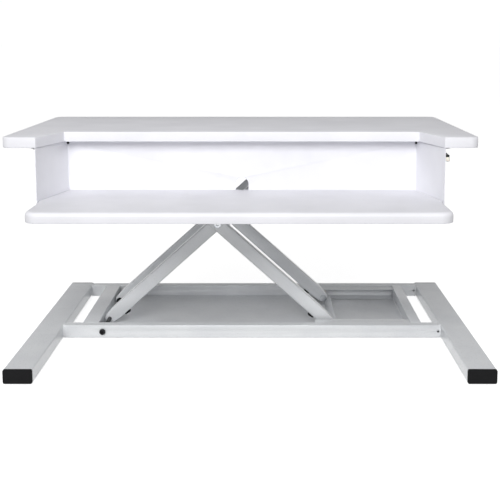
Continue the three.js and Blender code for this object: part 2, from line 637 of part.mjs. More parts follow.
function outerArms() {
  const group = new THREE.Group();
  group.position.set(BASE_X + LOWER_ROLLER_X, 0, PIVOT_Z);
  group.rotation.y = radians(RAISED_ANGLE);
  // Turned half round about Z, so that +X runs up and to the left. The arm's own sides swap.
  const mirror = new THREE.Group();
  mirror.position.y = 2 * MID_Y;
  mirror.rotation.z = Math.PI;
  group.add(mirror);
  for (const [side, sign] of SIDES) {
    const flipped = -sign;
    add(mirror, `${side}_outer_arm`, arm(flipped, OUTER_IN, OUTER_OUT), 'frame_paint');
    add(mirror, `${side}_outer_bumper`, bumper(flipped, OUTER_IN, OUTER_OUT), 'black_rubber');
    add(mirror, `${side}_lower_roller_axle`, rollerAxle(flipped, 0, OUTER_IN), 'zinc_steel');
    const centreBolt = turned([
      [NUT_RADIUS, INNER_IN - GAP - NUT_LENGTH],
      [NUT_RADIUS, INNER_IN - GAP],
      [PIN_RADIUS, INNER_IN - GAP],
      [PIN_RADIUS, INNER_OUT + GAP],
      [SHOULDER_RADIUS, INNER_OUT + GAP],
      [SHOULDER_RADIUS, OUTER_IN - GAP],
      [PIN_RADIUS, OUTER_IN - GAP],
      [PIN_RADIUS, OUTER_OUT + GAP],
      [HEAD_RADIUS + 1, OUTER_OUT + GAP],
      [HEAD_RADIUS, OUTER_OUT + GAP + HEAD_LENGTH],
    ], flipped, ARM_LOWER, 0);
    add(mirror, `${side}_centre_bolt`, centreBolt, 'zinc_steel');
  }
  add(mirror, 'outer_end_plate', endPlate(), 'frame_paint');
  return group;
}

function rollers() {
  const group = new THREE.Group();
  const upperX = CENTRE_X + ARM_UPPER * cosine(RAISED_ANGLE);
  for (const [side, sign] of SIDES) {
    add(group, `${side}_lower_roller`, roller(sign, BASE_X + LOWER_ROLLER_X, PIVOT_Z), 'nylon');
    add(group, `${side}_upper_roller`, roller(sign, BASE_X + upperX, UPPER_PIVOT_Z), 'nylon');
  }
  return group;
}

// ---- Gas spring ----
// Drawn along +X from its lower pin at the origin.

function alongX(profile) {
  const points = profile.map(([x, radius]) => new THREE.Vector2(radius, x));
  return new THREE.LatheGeometry(points, SEGMENTS).rotateZ(-Math.PI / 2);
}

function springCylinder() {
  const shell = alongX([
    [-CYLINDER_TAIL, 0],
    [-CYLINDER_TAIL, CYLINDER_RADIUS - CYLINDER_EDGE],
    [-CYLINDER_TAIL + CYLINDER_EDGE, CYLINDER_RADIUS],
    [CYLINDER_LENGTH - CYLINDER_NOSE, CYLINDER_RADIUS],
    [CYLINDER_LENGTH, CYLINDER_RADIUS - CYLINDER_NOSE],
    [CYLINDER_LENGTH, ROD_RADIUS + GAP],
    [CYLINDER_LENGTH - CYLINDER_GUIDE, ROD_RADIUS + GAP],
    [CYLINDER_LENGTH - CYLINDER_GUIDE, CYLINDER_BORE],
    [CYLINDER_FLOOR, CYLINDER_BORE],
    [CYLINDER_FLOOR, 0],
  ]);
  return combine(shell, { cut: [barY(PIN_HOLE, 0, 0, -RIGHT_THROUGH, RIGHT_THROUGH)] });
}

function springEndCap() {
  const inner = -CYLINDER_TAIL - GAP;
  const radius = CYLINDER_RADIUS - END_CAP_INSET;
  return alongX([
    [inner - END_CAP_LENGTH, 0],
    [inner - END_CAP_LENGTH, radius - END_CAP_EDGE],
    [inner - END_CAP_LENGTH + END_CAP_EDGE, radius],
    [inner, radius],
    [inner, 0],
  ]);
}

function springRod() {
  const end = SPRING_LENGTH - EYE_RADIUS - GAP;
  return alongX([
    [PISTON_PLACE, 0],
    [PISTON_PLACE, CYLINDER_BORE - GAP],
    [PISTON_PLACE + PISTON_LENGTH, CYLINDER_BORE - GAP],
    [PISTON_PLACE + PISTON_LENGTH, ROD_RADIUS],
    [end, ROD_RADIUS],
    [end, 0],
  ]);
}

function springEye() {
  const half = EYE_THICKNESS / 2;
  return combine(barY(EYE_RADIUS, SPRING_LENGTH, 0, -half, half), {
    cut: [barY(EYE_HOLE, SPRING_LENGTH, 0, -RIGHT_THROUGH, RIGHT_THROUGH)],
  });
}

function gasSpring() {
  const group = new THREE.Group();
  group.position.set(BASE_X + SPRING_BOTTOM_X, MID_Y, SPRING_BOTTOM_Z);
  group.rotation.y = -SPRING_ANGLE;
  add(group, 'spring_cylinder', springCylinder(), 'spring_paint');
  add(group, 'spring_end_cap', springEndCap(), 'black_plastic');
  add(group, 'spring_rod', springRod(), 'bright_rod');
  add(group, 'spring_rod_eye', springEye(), 'zinc_steel');
  return group;
}

// ---- Deck ----

// The top board, with rounded corners and a cutout that clears the keyboard tray from above.
function topBoard() {
  const half = BOARD_WIDTH / 2;
  const r = BOARD_CORNER;
  const rearHalf = TRAY_HALF - CUTOUT_REAR_INSET;
  const shape = new THREE.Shape();
  shape.moveTo(-TRAY_HALF, BOARD_FRONT_Y);
  shape.lineTo(-rearHalf, CUTOUT_REAR_Y);
  shape.lineTo(rearHalf, CUTOUT_REAR_Y);
  shape.lineTo(TRAY_HALF, BOARD_FRONT_Y);
  shape.lineTo(half - r, BOARD_FRONT_Y);
  shape.absarc(half - r, BOARD_FRONT_Y + r, r, -Math.PI / 2, 0, false);
  shape.lineTo(half, BOARD_REAR_Y - r);
  shape.absarc(half - r, BOARD_REAR_Y - r, r, 0, Math.PI / 2, false);
  shape.lineTo(-half + r, BOARD_REAR_Y);
  shape.absarc(-half + r, BOARD_REAR_Y - r, r, Math.PI / 2, Math.PI, false);
  shape.lineTo(-half, BOARD_FRONT_Y + r);
  shape.absarc(-half + r, BOARD_FRONT_Y + r, r, Math.PI, Math.PI * 1.5, false);
  return extrude(shape, 'z', BOARD_BOTTOM, BOARD_TOP);
}

// The keyboard tray: full width in front, drawn in at the rear to sit inside the hanger.
function keyboardTray() {
  const r = TRAY_CORNER;
  const rearY = HANGER_REAR_Y - GAP;
  const shape = new THREE.Shape();
  shape.moveTo(-TRAY_HALF + r, TRAY_FRONT_Y);
  shape.lineTo(TRAY_HALF - r, TRAY_FRONT_Y);
  shape.absarc(TRAY_HALF - r, TRAY_FRONT_Y + r, r, -Math.PI / 2, 0, false);
  shape.lineTo(TRAY_HALF, BOARD_FRONT_Y);
  shape.lineTo(HANGER_REAR_HALF, rearY);
  shape.lineTo(-HANGER_REAR_HALF, rearY);
  shape.lineTo(-TRAY_HALF, BOARD_FRONT_Y);
  shape.lineTo(-TRAY_HALF, TRAY_FRONT_Y + r);
  shape.absarc(-TRAY_HALF + r, TRAY_FRONT_Y + r, r, Math.PI, Math.PI * 1.5, false);
  return extrude(shape, 'z', TRAY_BOTTOM, TRAY_TOP);
}

// A U-shaped strip in plan that follows the hanger, between two offsets from the tray's edge.
function hangerStrip(inside, outside) {
  const rearY = HANGER_REAR_Y;
  const edge = (offset) => [
    [TRAY_HALF + offset, BOARD_FRONT_Y],
    [HANGER_REAR_HALF + offset, rearY + offset],
  ];
  const [outerFront, outerRear] = edge(outside);
  const [innerFront, innerRear] = edge(inside);
  const flip = ([x, y]) => [-x, y];
  return polygon([
    outerFront, outerRear, flip(outerRear), flip(outerFront),
    flip(innerFront), flip(innerRear), innerRear, innerFront,
  ]);
}

// The folded sheet-steel hanger: a wall round three sides, a flange out under the board, a flange
// in under the tray, a round-topped cable notch and a relief hole at each rear corner.
function trayHanger() {
  const wallOut = 2 * GAP + HANGER_WALL;
  const wall = extrude(hangerStrip(2 * GAP, wallOut), 'z', HANGER_BOTTOM, HANGER_TOP);
  const topFlange = extrude(
    hangerStrip(2 * GAP, wallOut + HANGER_TOP_FLANGE), 'z', HANGER_TOP - HANGER_WALL, HANGER_TOP,
  );
  const bottomFlange = extrude(
    hangerStrip(-HANGER_BOTTOM_FLANGE, wallOut), 'z', HANGER_BOTTOM, HANGER_BOTTOM + HANGER_WALL,
  );
  const half = CABLE_NOTCH_WIDTH / 2;
  const shape = new THREE.Shape();
  shape.moveTo(-half, TRAY_TOP);
  shape.lineTo(half, TRAY_TOP);
  shape.lineTo(half, TRAY_TOP + CABLE_NOTCH_HEIGHT - half);
  shape.absarc(0, TRAY_TOP + CABLE_NOTCH_HEIGHT - half, half, 0, Math.PI, false);
  const notch = extrude(shape, 'y', HANGER_REAR_Y - CUT_PAST, HANGER_REAR_Y + CUT_PAST);
  const reliefs = HANDS.map(([, sign]) => barY(
    RELIEF_RADIUS, sign * HANGER_REAR_HALF, HANGER_TOP - HANGER_WALL - RELIEF_RADIUS,
    HANGER_REAR_Y - CUT_PAST, HANGER_REAR_Y + CUT_PAST,
  ));
  return combine(wall, { join: [topFlange, bottomFlange], cut: [notch, ...reliefs] });
}

// An upper rail, with a hole through its web for the outer arm's pivot bolt.
function upperRail(side) {
  const x = UPPER_PIVOT_X + CENTRE_OFFSET;
  const channel = rail(side, x - UPPER_RAIL_START, UPPER_RAIL_END_X, UPPER_PIVOT_Z);
  const [y0, y1] = acrossY(side, RAIL_OUT - CUT_PAST, RAIL_OUT + CUT_PAST);
  return combine(channel, { cut: [barY(PIN_HOLE, x, UPPER_PIVOT_Z, y0, y1)] });
}

function crossTie(x0, x1) {
  const reach = RAIL_IN - GAP;
  const top = BOARD_BOTTOM - GAP;
  return block(x0, x1, MID_Y - reach, MID_Y + reach, top - TIE_THICKNESS, top);
}

// The tie that carries the spring's upper pin between two ears, with a stop for the cable.
function springTie(x) {
  const top = BOARD_BOTTOM - GAP;
  const tieBottom = top - TIE_THICKNESS;
  const ears = SIDES.map(([, sign]) => {
    const [y0, y1] = acrossY(sign, EAR_IN, EAR_IN + EAR_THICKNESS);
    return block(
      x - EAR_HALF_WIDTH, x + EAR_HALF_WIDTH, y0, y1, SPRING_TOP_Z - EAR_BELOW_PIN, tieBottom + 1,
    );
  });
  const edge = x + SPRING_TIE_WIDTH / 2;
  const cableStop = block(
    edge - CABLE_STOP_THICKNESS, edge, MID_Y - CABLE_STOP_HALF_WIDTH, MID_Y + CABLE_STOP_HALF_WIDTH,
    tieBottom - CABLE_STOP_DROP, tieBottom + 1,
  );
  const hole = barY(
    EYE_PIN_RADIUS + PIN_CLEARANCE, x, SPRING_TOP_Z, MID_Y - RIGHT_THROUGH, MID_Y + RIGHT_THROUGH,
  );
  return combine(crossTie(x - SPRING_TIE_WIDTH / 2, edge), { join: [...ears, cableStop], cut: [hole] });
}

function springUpperPin(x) {
  const end = EAR_IN + EAR_THICKNESS + GAP;
  return turned([
    [EYE_PIN_RADIUS + PIN_HEAD_RIM, -end - PIN_HEAD],
    [EYE_PIN_RADIUS + PIN_HEAD_RIM, -end],
    [EYE_PIN_RADIUS, -end],
    [EYE_PIN_RADIUS, end],
    [EYE_PIN_RADIUS + PIN_HEAD_RIM, end],
    [EYE_PIN_RADIUS + PIN_HEAD_RIM, end + PIN_HEAD],
  ], 1, x, SPRING_TOP_Z);
}

// A round pin along X with a head at each end.
function leverPin() {
  const half = LEVER_WIDTH / 2 + BRACKET_ROOM + BRACKET_WALL + GAP;
  const rim = LEVER_PIN_RADIUS + LEVER_PIN_RIM;
  return alongX([
    [-half - LEVER_PIN_HEAD, 0],
    [-half - LEVER_PIN_HEAD, rim],
    [-half, rim],
    [-half, LEVER_PIN_RADIUS],
    [half, LEVER_PIN_RADIUS],
    [half, rim],
    [half + LEVER_PIN_HEAD, rim],
    [half + LEVER_PIN_HEAD, 0],
  ]).translate(LEVER_X, LEVER_PIN_Y, BOARD_BOTTOM - LEVER_PIN_DROP);
}

function barX(radius, y, z, x0, x1) {
  const geometry = new THREE.CylinderGeometry(radius, radius, x1 - x0, SEGMENTS);
  return geometry.rotateZ(-Math.PI / 2).translate((x0 + x1) / 2, y, z);
}

function leverPinHole() {
  return barX(
    LEVER_PIN_RADIUS + PIN_CLEARANCE, LEVER_PIN_Y, BOARD_BOTTOM - LEVER_PIN_DROP,
    LEVER_X - LEVER_WIDTH - CUT_PAST, LEVER_X + LEVER_WIDTH + CUT_PAST,
  );
}

// The release lever's bracket: a small channel under the right wing.
function releaseBracket() {
  const top = BOARD_BOTTOM - GAP;
  const inside = LEVER_WIDTH / 2 + BRACKET_ROOM;
  const outside = inside + BRACKET_WALL;
  const bottom = -LEVER_PIN_DROP - BRACKET_BELOW_PIN;
  const section = polygon([
    [-outside, 0],
    [-outside, bottom],
    [-inside, bottom],
    [-inside, -BRACKET_WALL],
    [inside, -BRACKET_WALL],
    [inside, bottom],
    [outside, bottom],
    [outside, 0],
  ]);
  const channel = extrude(
    section, 'y', LEVER_PIN_Y - BRACKET_HALF_LENGTH, LEVER_PIN_Y + BRACKET_HALF_LENGTH,
  );
  return combine(channel.translate(LEVER_X, 0, top), { cut: [leverPinHole()] });
}

// The release lever, a flat bar with a deeper finger end, pulled up towards the board.
function releaseLever() {
  const pinZ = BOARD_BOTTOM - LEVER_PIN_DROP;
  const tip = LEVER_PIN_Y - LEVER_REACH;
  const tail = LEVER_PIN_Y + LEVER_TAIL;
  const outline = polygon([
    [tail, pinZ - LEVER_HALF_HEIGHT + 1],
    [tail, pinZ + LEVER_HALF_HEIGHT - 2],
    [LEVER_PIN_Y, pinZ + LEVER_HALF_HEIGHT],
    [tip + FINGER_LENGTH, pinZ + LEVER_THIN],
    [tip, pinZ + LEVER_THIN],
    [tip, pinZ - FINGER_DROP + 1],
    [tip + FINGER_LENGTH, pinZ - FINGER_DROP],
    [tip + FINGER_LENGTH + FINGER_SLOPE, pinZ - LEVER_HALF_HEIGHT],
    [LEVER_PIN_Y, pinZ - LEVER_HALF_HEIGHT],
  ]);
  const half = LEVER_WIDTH / 2;
  const bar = extrude(outline, 'x', LEVER_X - half, LEVER_X + half);
  return combine(bar, { cut: [leverPinHole()] });
}

// The sheathed cable from the lever's tail, round behind the hanger and along the middle of the
// mechanism to the stop on the spring's tie.
function releaseCable(springX) {
  const start = LEVER_PIN_Y + LEVER_TAIL + 2 * GAP;
  const runZ = BOARD_BOTTOM - TIE_THICKNESS - 8;
  const stop = springX + SPRING_TIE_WIDTH / 2 + 2 * GAP;
  const pastRail = Math.max(LEVER_X - CABLE_LEAN, UPPER_RAIL_END_X + CABLE_ROOM);
  const route = new THREE.CatmullRomCurve3([
    new THREE.Vector3(LEVER_X, start, BOARD_BOTTOM - LEVER_PIN_DROP),
    new THREE.Vector3(LEVER_X, start + 20, runZ - 1),
    new THREE.Vector3(pastRail, HANGER_REAR_Y + 20, runZ),
    new THREE.Vector3(UPPER_RAIL_END_X + CABLE_ROOM, MID_Y - 90, runZ),
    new THREE.Vector3(UPPER_RAIL_END_X + 18, MID_Y - 50, runZ),
    new THREE.Vector3(UPPER_RAIL_END_X - 4, MID_Y - 12, runZ),
    new THREE.Vector3(UPPER_RAIL_END_X - 50, MID_Y, runZ),
    new THREE.Vector3(stop + 60, MID_Y, runZ),
    new THREE.Vector3(stop, MID_Y, runZ),
  ], false, 'centripetal');
  const section = new THREE.Shape();
  section.absarc(0, 0, CABLE_RADIUS, 0, 2 * Math.PI, false);
  const settings = { steps: 40, bevelEnabled: false, curveSegments: 4, extrudePath: route };
  return new THREE.ExtrudeGeometry(section, settings);
}

function deck() {
  const group = new THREE.Group();
  group.position.x = DECK_X;
  const springX = SPRING_TOP_X + CENTRE_OFFSET;
  const rollerEndX = UPPER_ROLLER_MAX_X + CENTRE_OFFSET + ARM_END_RADIUS + 5;
  add(group, 'top_board', topBoard(), 'white_board');
  add(group, 'keyboard_tray', keyboardTray(), 'white_board');
  add(group, 'tray_hanger', trayHanger(), 'white_sheet');
  for (const [side, sign] of SIDES) {
    add(group, `${side}_upper_rail`, upperRail(sign), 'frame_paint');
    const bolt = pivotBolt(
      sign, UPPER_PIVOT_X + CENTRE_OFFSET, UPPER_PIVOT_Z,
      RAIL_OUT - RAIL_WALL, RAIL_OUT, OUTER_OUT, OUTER_IN,
    );
    add(group, `${side}_upper_pivot_bolt`, bolt, 'zinc_steel');
  }
  add(group, 'spring_tie', springTie(springX), 'frame_paint');
  add(group, 'right_tie', crossTie(rollerEndX, rollerEndX + TIE_WIDTH), 'frame_paint');
  add(group, 'spring_upper_pin', springUpperPin(springX), 'zinc_steel');
  add(group, 'release_bracket', releaseBracket(), 'zinc_steel');
  add(group, 'release_lever_pin', leverPin(), 'zinc_steel');
  add(group, 'release_lever', releaseLever(), 'black_steel');
  add(group, 'release_cable', releaseCable(springX), 'black_rubber');
  return group;
}

const converter = new THREE.Group();
converter.add(base());
converter.add(innerArms());
converter.add(outerArms());
converter.add(rollers());
converter.add(gasSpring());
converter.add(deck());

export default converter;
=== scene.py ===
import json
import math

import bmesh
import bpy
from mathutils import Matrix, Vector

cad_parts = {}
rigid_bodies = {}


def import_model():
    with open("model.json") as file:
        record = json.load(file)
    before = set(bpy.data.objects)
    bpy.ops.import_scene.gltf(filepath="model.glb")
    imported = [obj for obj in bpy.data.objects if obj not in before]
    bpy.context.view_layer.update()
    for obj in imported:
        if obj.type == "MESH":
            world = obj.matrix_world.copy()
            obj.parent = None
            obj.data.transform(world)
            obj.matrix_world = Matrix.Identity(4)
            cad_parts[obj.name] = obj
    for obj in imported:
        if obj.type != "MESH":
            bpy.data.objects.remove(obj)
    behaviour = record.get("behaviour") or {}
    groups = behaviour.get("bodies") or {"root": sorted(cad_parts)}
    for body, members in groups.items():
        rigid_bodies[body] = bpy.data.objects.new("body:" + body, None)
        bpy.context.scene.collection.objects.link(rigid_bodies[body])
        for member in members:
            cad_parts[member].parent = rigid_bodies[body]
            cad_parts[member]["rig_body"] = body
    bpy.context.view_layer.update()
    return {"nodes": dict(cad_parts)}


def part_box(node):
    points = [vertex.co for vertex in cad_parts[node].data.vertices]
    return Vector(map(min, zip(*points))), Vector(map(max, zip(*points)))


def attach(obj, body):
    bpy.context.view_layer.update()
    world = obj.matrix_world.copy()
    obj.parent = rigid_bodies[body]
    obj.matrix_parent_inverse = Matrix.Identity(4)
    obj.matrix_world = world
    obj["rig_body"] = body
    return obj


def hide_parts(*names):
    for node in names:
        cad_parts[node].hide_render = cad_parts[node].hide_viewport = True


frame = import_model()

nodes = frame["nodes"]

# ---- Camera ----
# It stands in front of the desk, a little above the top board, and looks a little down. Its
# shift lifts the object towards the upper half of the frame.
CAMERA_PLACE = (0.0320, -1.7057, 0.5510)
CAMERA_DOWN = 7.92  # degrees below level

bpy.ops.object.select_all(action="DESELECT")
bpy.ops.object.camera_add(
    location=CAMERA_PLACE, rotation=(math.radians(90 - CAMERA_DOWN), 0, 0)
)
camera = bpy.context.object
camera.data.sensor_width = 36
camera.data.lens = 66.66
camera.data.shift_x = -0.029
camera.data.shift_y = -0.16
bpy.context.scene.camera = camera

# ---- Foot tubes ----
# Two rectangular steel tubes, 48 by 24 mm with a 1.5 mm wall, lie front to back on the desk and
# carry the rest of the base. They are cut square, welded to the crossbars and powder coated.
MM = 0.001
TUBE_WALL = 1.5 * MM
TUBE_CORNER = 3 * MM


def linear(hex_colour):
    """An sRGB hex colour as linear red, green, blue and alpha."""
    shares = [int(hex_colour[i:i + 2], 16) / 255 for i in (1, 3, 5)]
    return [*(s / 12.92 if s <= 0.04045 else ((s + 0.055) / 1.055) ** 2.4 for s in shares), 1]


def add_node(material, kind, settings, sockets):
    """Adds a node. Settings are its own options, sockets hold values or other nodes' outputs."""
    tree = material.node_tree
    made = tree.nodes.new(kind)
    for option, value in settings.items():
        setattr(made, option, value)
    for socket, value in sockets.items():
        if isinstance(value, bpy.types.NodeSocket):
            tree.links.new(value, made.inputs[socket])
        else:
            made.inputs[socket].default_value = value
    return made


def finish_of(name, colours, roughness, metallic, blotch, grain, relief):
    """A surface whose colour drifts between two tones over blotch metres, with a grain in its relief.
    Roughness is its lowest and highest value. Gives the material and its shader."""
    material = bpy.data.materials.new(name)
    material.use_nodes = True
    shader = material.node_tree.nodes["Principled BSDF"]
    place = add_node(material, "ShaderNodeTexCoord", {}, {}).outputs["Object"]
    drift = add_node(
        material, "ShaderNodeTexNoise", {}, {"Vector": place, "Scale": 1 / blotch, "Detail": 4},
    )
    tone = add_node(material, "ShaderNodeValToRGB", {}, {"Fac": drift.outputs[0]})
    for stop, at, colour in zip(tone.color_ramp.elements, (0.35, 0.65), colours):
        stop.position = at
        stop.color = linear(colour)
    texture = add_node(
        material, "ShaderNodeTexNoise", {}, {"Vector": place, "Scale": 1 / grain, "Detail": 2},
    )
    gloss = add_node(
        material, "ShaderNodeMapRange", {},
        {"Value": texture.outputs[0], "To Min": roughness[0], "To Max": roughness[1]},
    )
    bump = add_node(
        material, "ShaderNodeBump", {},
        {"Height": texture.outputs[0], "Distance": relief, "Strength": 1},
    )
    material.node_tree.links.new(tone.outputs[0], shader.inputs["Base Color"])
    material.node_tree.links.new(gloss.outputs[0], shader.inputs["Roughness"])
    material.node_tree.links.new(bump.outputs[0], shader.inputs["Normal"])
    shader.inputs["Metallic"].default_value = metallic
    return material, shader


def block(low, high):
    """Starts a piece as a box between two corners and opens it in edit mode."""
    bpy.ops.object.select_all(action="DESELECT")
    size = [b - a for a, b in zip(low, high)]
    middle = [(a + b) / 2 for a, b in zip(low, high)]
    bpy.ops.mesh.primitive_cube_add(size=1, location=middle, scale=size)
    bpy.ops.object.transform_apply()
    bpy.ops.object.mode_set(mode="EDIT")
    return bpy.context.object


def pick(kind, test):
    """Selects the corners, edges or faces whose middle and direction pass the test."""
    bpy.ops.mesh.select_mode(type=kind)
    bpy.ops.mesh.select_all(action="DESELECT")
    mesh = bmesh.from_edit_mesh(bpy.context.object.data)
    if kind == "VERT":
        for vertex in mesh.verts:
            vertex.select_set(test(vertex.co, vertex.normal))
    elif kind == "EDGE":
        for edge in mesh.edges:
            a, b = (vertex.co for vertex in edge.verts)
            edge.select_set(test((a + b) / 2, (b - a).normalized()))
    else:
        for face in mesh.faces:
            face.select_set(test(face.calc_center_median(), face.normal))
    mesh.select_flush_mode()
    bmesh.update_edit_mesh(bpy.context.object.data)


def select_only(piece):
    if bpy.context.object and bpy.context.object.mode == "EDIT":
        bpy.ops.object.mode_set(mode="OBJECT")
    bpy.ops.object.select_all(action="DESELECT")
    piece.select_set(True)
    bpy.context.view_layer.objects.active = piece


def modify(piece, kind, **settings):
    """Adds one modifier to a piece and applies it."""
    select_only(piece)
    modifier = piece.modifiers.new(kind, kind)
    for option, value in settings.items():
        setattr(modifier, option, value)
    bpy.ops.object.modifier_apply(modifier=modifier.name)


def ease_edges(piece, width, segments=2, above=40):
    """Rounds every edge sharper than the given number of degrees."""
    modify(
        piece, "BEVEL", width=width, segments=segments,
        limit_method="ANGLE", angle_limit=math.radians(above),
    )


def settle(piece, name, material, slot, *stands_for, body=None):
    """Smooths a finished piece, gives it its material and puts it on the body it belongs to."""
    select_only(piece)
    bpy.ops.object.shade_smooth_by_angle(angle=math.radians(35))
    piece.name = name
    piece.data.materials.clear()
    piece.data.materials.append(material)
    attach(piece, body or nodes[stands_for[0]]["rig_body"])
    if stands_for:
        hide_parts(*stands_for)


# Polyester powder coat, silver grey, baked on after welding: a soft satin sheen with a faint
# orange peel. The real peel is about 0.6 mm across and is drawn at 1.6 mm so that it shows.
silver_coat, _ = finish_of(
    "silver_powder_coat", ("#dddfe2", "#e4e6e8"), (0.24, 0.34), 0.12,
    blotch=60 * MM, grain=1.6 * MM, relief=0.01 * MM,
)

for hand in ("left", "right"):
    low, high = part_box(f"{hand}_foot_tube")
    tube = block(low, high)
    pick("EDGE", lambda middle, along: abs(along.y) > 0.9)
    bpy.ops.mesh.bevel(offset=TUBE_CORNER, segments=6)
    pick("FACE", lambda middle, facing: abs(facing.y) > 0.9)
    bpy.ops.mesh.delete(type="FACE")
    modify(tube, "SOLIDIFY", thickness=TUBE_WALL, offset=-1)
    settle(tube, f"{hand}_foot_section", silver_coat, "frame_paint", f"{hand}_foot_tube")

# ---- Foot caps ----
# Black injection-moulded end caps push into the tubes on a plug. Each has a 4 mm flange with the
# tube's outline, a rounded outer rim and a shallow field inside it.
CAP_RIM = 2 * MM
CAP_FIELD_DEPTH = 0.4 * MM
CAP_FLANGE = 4 * MM
CAP_EDGE = 0.3 * MM
PLUG_CLEARANCE = 0.3 * MM

# Moulded ABS: near black, with the fine spark grain of the mould, drawn at 0.9 mm to show.
black_abs, abs_shader = finish_of(
    "black_moulded_abs", ("#08080a", "#0d0d0f"), (0.5, 0.66), 0,
    blotch=25 * MM, grain=0.9 * MM, relief=0.02 * MM,
)
abs_shader.inputs["Specular IOR Level"].default_value = 0.15

for end, facing_out in (("front", -1), ("rear", 1)):
    for hand in ("left", "right"):
        node = f"{end}_{hand}_foot_cap"
        low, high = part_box(node)
        outer = low.y if facing_out < 0 else high.y
        inner = outer - facing_out * CAP_FLANGE
        cap = block((low.x, min(outer, inner), low.z), (high.x, max(outer, inner), high.z))
        pick("EDGE", lambda middle, along: abs(along.y) > 0.9)
        bpy.ops.mesh.bevel(offset=TUBE_CORNER, segments=6)
        pick("FACE", lambda middle, facing: facing.y * facing_out > 0.9)
        bpy.ops.mesh.inset(thickness=CAP_RIM)
        bpy.ops.mesh.inset(thickness=CAP_FIELD_DEPTH, depth=-CAP_FIELD_DEPTH)
        pick("FACE", lambda middle, facing: facing.y * facing_out < -0.9)
        bpy.ops.mesh.inset(thickness=TUBE_WALL + PLUG_CLEARANCE)
        plug_length = high.y - low.y - CAP_FLANGE
        bpy.ops.mesh.extrude_region_move(
            TRANSFORM_OT_translate={"value": (0, -facing_out * plug_length, 0)}
        )
        bpy.ops.object.mode_set(mode="OBJECT")
        ease_edges(cap, CAP_EDGE, 3, above=60)
        settle(cap, f"{end}_{hand}_cap", black_abs, "black_plastic", node)

# ---- Foot pads ----
# Soft anti-slip pads are glued under the feet, near their ends. Each has rounded corners and a
# raised rim round a shallow middle, which grips the desk.
PAD_CORNER = 6 * MM
PAD_RIM = 4 * MM
PAD_FIELD_DEPTH = 0.6 * MM
PAD_EDGE = 0.25 * MM

# Moulded rubber: matt, almost without gloss, with a dusty unevenness.
black_rubber, _ = finish_of(
    "black_moulded_rubber", ("#101011", "#18181a"), (0.8, 0.95), 0,
    blotch=12 * MM, grain=0.8 * MM, relief=0.03 * MM,
)

for end in ("front", "rear"):
    for hand in ("left", "right"):
        node = f"{end}_{hand}_foot_pad"
        pad = block(*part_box(node))
        pick("EDGE", lambda middle, along: abs(along.z) > 0.9)
        bpy.ops.mesh.bevel(offset=PAD_CORNER, segments=8)
        pick("FACE", lambda middle, facing: facing.z < -0.9)
        bpy.ops.mesh.inset(thickness=PAD_RIM)
        bpy.ops.mesh.inset(thickness=PAD_FIELD_DEPTH, depth=-PAD_FIELD_DEPTH)
        bpy.ops.object.mode_set(mode="OBJECT")
        ease_edges(pad, PAD_EDGE)
        settle(pad, f"{end}_{hand}_pad", black_rubber, "black_rubber", node)

# ---- Base frame ----
# Two crossbars join the feet, two members join the crossbars, and a thin pan closes the bay
# between them. The lower rails are folded channels. All are steel, welded before coating.
FOLD_EDGE = 0.35 * MM


def from_cad(node, edge):
    """A merged copy of a CAD node, with its edges eased by so many metres."""
    bpy.ops.object.select_all(action="DESELECT")
    piece = bpy.data.objects.new(node + "_copy", nodes[node].data.copy())
    bpy.context.scene.collection.objects.link(piece)
    select_only(piece)
    bpy.ops.object.mode_set(mode="EDIT")
    bpy.ops.mesh.select_all(action="SELECT")
    bpy.ops.mesh.remove_doubles(threshold=0.005 * MM)
    bpy.ops.mesh.dissolve_limited(angle_limit=math.radians(0.5))
    bpy.ops.object.mode_set(mode="OBJECT")
    if edge:
        ease_edges(piece, edge)
    return piece


for node in (
    "front_crossbar", "rear_crossbar", "left_cross_member", "right_cross_member",
    "front_lower_rail", "rear_lower_rail", "base_pan",
):
    settle(from_cad(node, FOLD_EDGE), f"{node}_steel", silver_coat, "frame_paint", node)

# Fillet welds run up and over each end of a crossbar, where it meets the foot. The coat lies over
# them, so only their rippled shape shows.
WELD_RADIUS = 1.7 * MM
WELD_SINK = 0.6 * MM
WELD_INWARD = 0.4 * MM
WELD_END = 0.8 * MM
WELD_FROM_EDGE = 2 * MM
WELD_FROM_FLOOR = 3 * MM


def rod(start, end, radius, sides=48):
    """Starts a piece as a round bar between two points and opens it in edit mode."""
    bpy.ops.object.select_all(action="DESELECT")
    start, end = Vector(start), Vector(end)
    bpy.ops.mesh.primitive_cylinder_add(
        vertices=sides, radius=radius, depth=(end - start).length, location=(start + end) / 2,
        rotation=(end - start).to_track_quat("Z", "Y").to_euler(),
    )
    bpy.ops.object.transform_apply()
    bpy.ops.object.mode_set(mode="EDIT")
    return bpy.context.object


def join_up(pieces):
    """Joins several finished shells into one piece."""
    select_only(pieces[0])
    for piece in pieces:
        piece.select_set(True)
    bpy.ops.object.join()
    return bpy.context.object


for end in ("front", "rear"):
    low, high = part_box(f"{end}_crossbar")
    beads = []
    for x in (low.x, high.x):
        inward = WELD_INWARD if x == low.x else -WELD_INWARD
        for start, stop in (
            ((x, low.y + WELD_FROM_EDGE, high.z), (x, high.y - WELD_FROM_EDGE, high.z)),
            ((x, low.y, low.z + WELD_FROM_FLOOR), (x, low.y, high.z - WELD_FROM_EDGE)),
            ((x, high.y, low.z + WELD_FROM_FLOOR), (x, high.y, high.z - WELD_FROM_EDGE)),
        ):
            bead = rod(start, stop, WELD_RADIUS, 12)
            bpy.ops.mesh.select_all(action="SELECT")
            bpy.ops.transform.translate(value=(inward, 0, -WELD_SINK))
            bpy.ops.object.mode_set(mode="OBJECT")
            ease_edges(bead, WELD_END, 3)
            beads.append(bead)
    settle(join_up(beads), f"{end}_foot_welds", silver_coat, "frame_paint", body="base")

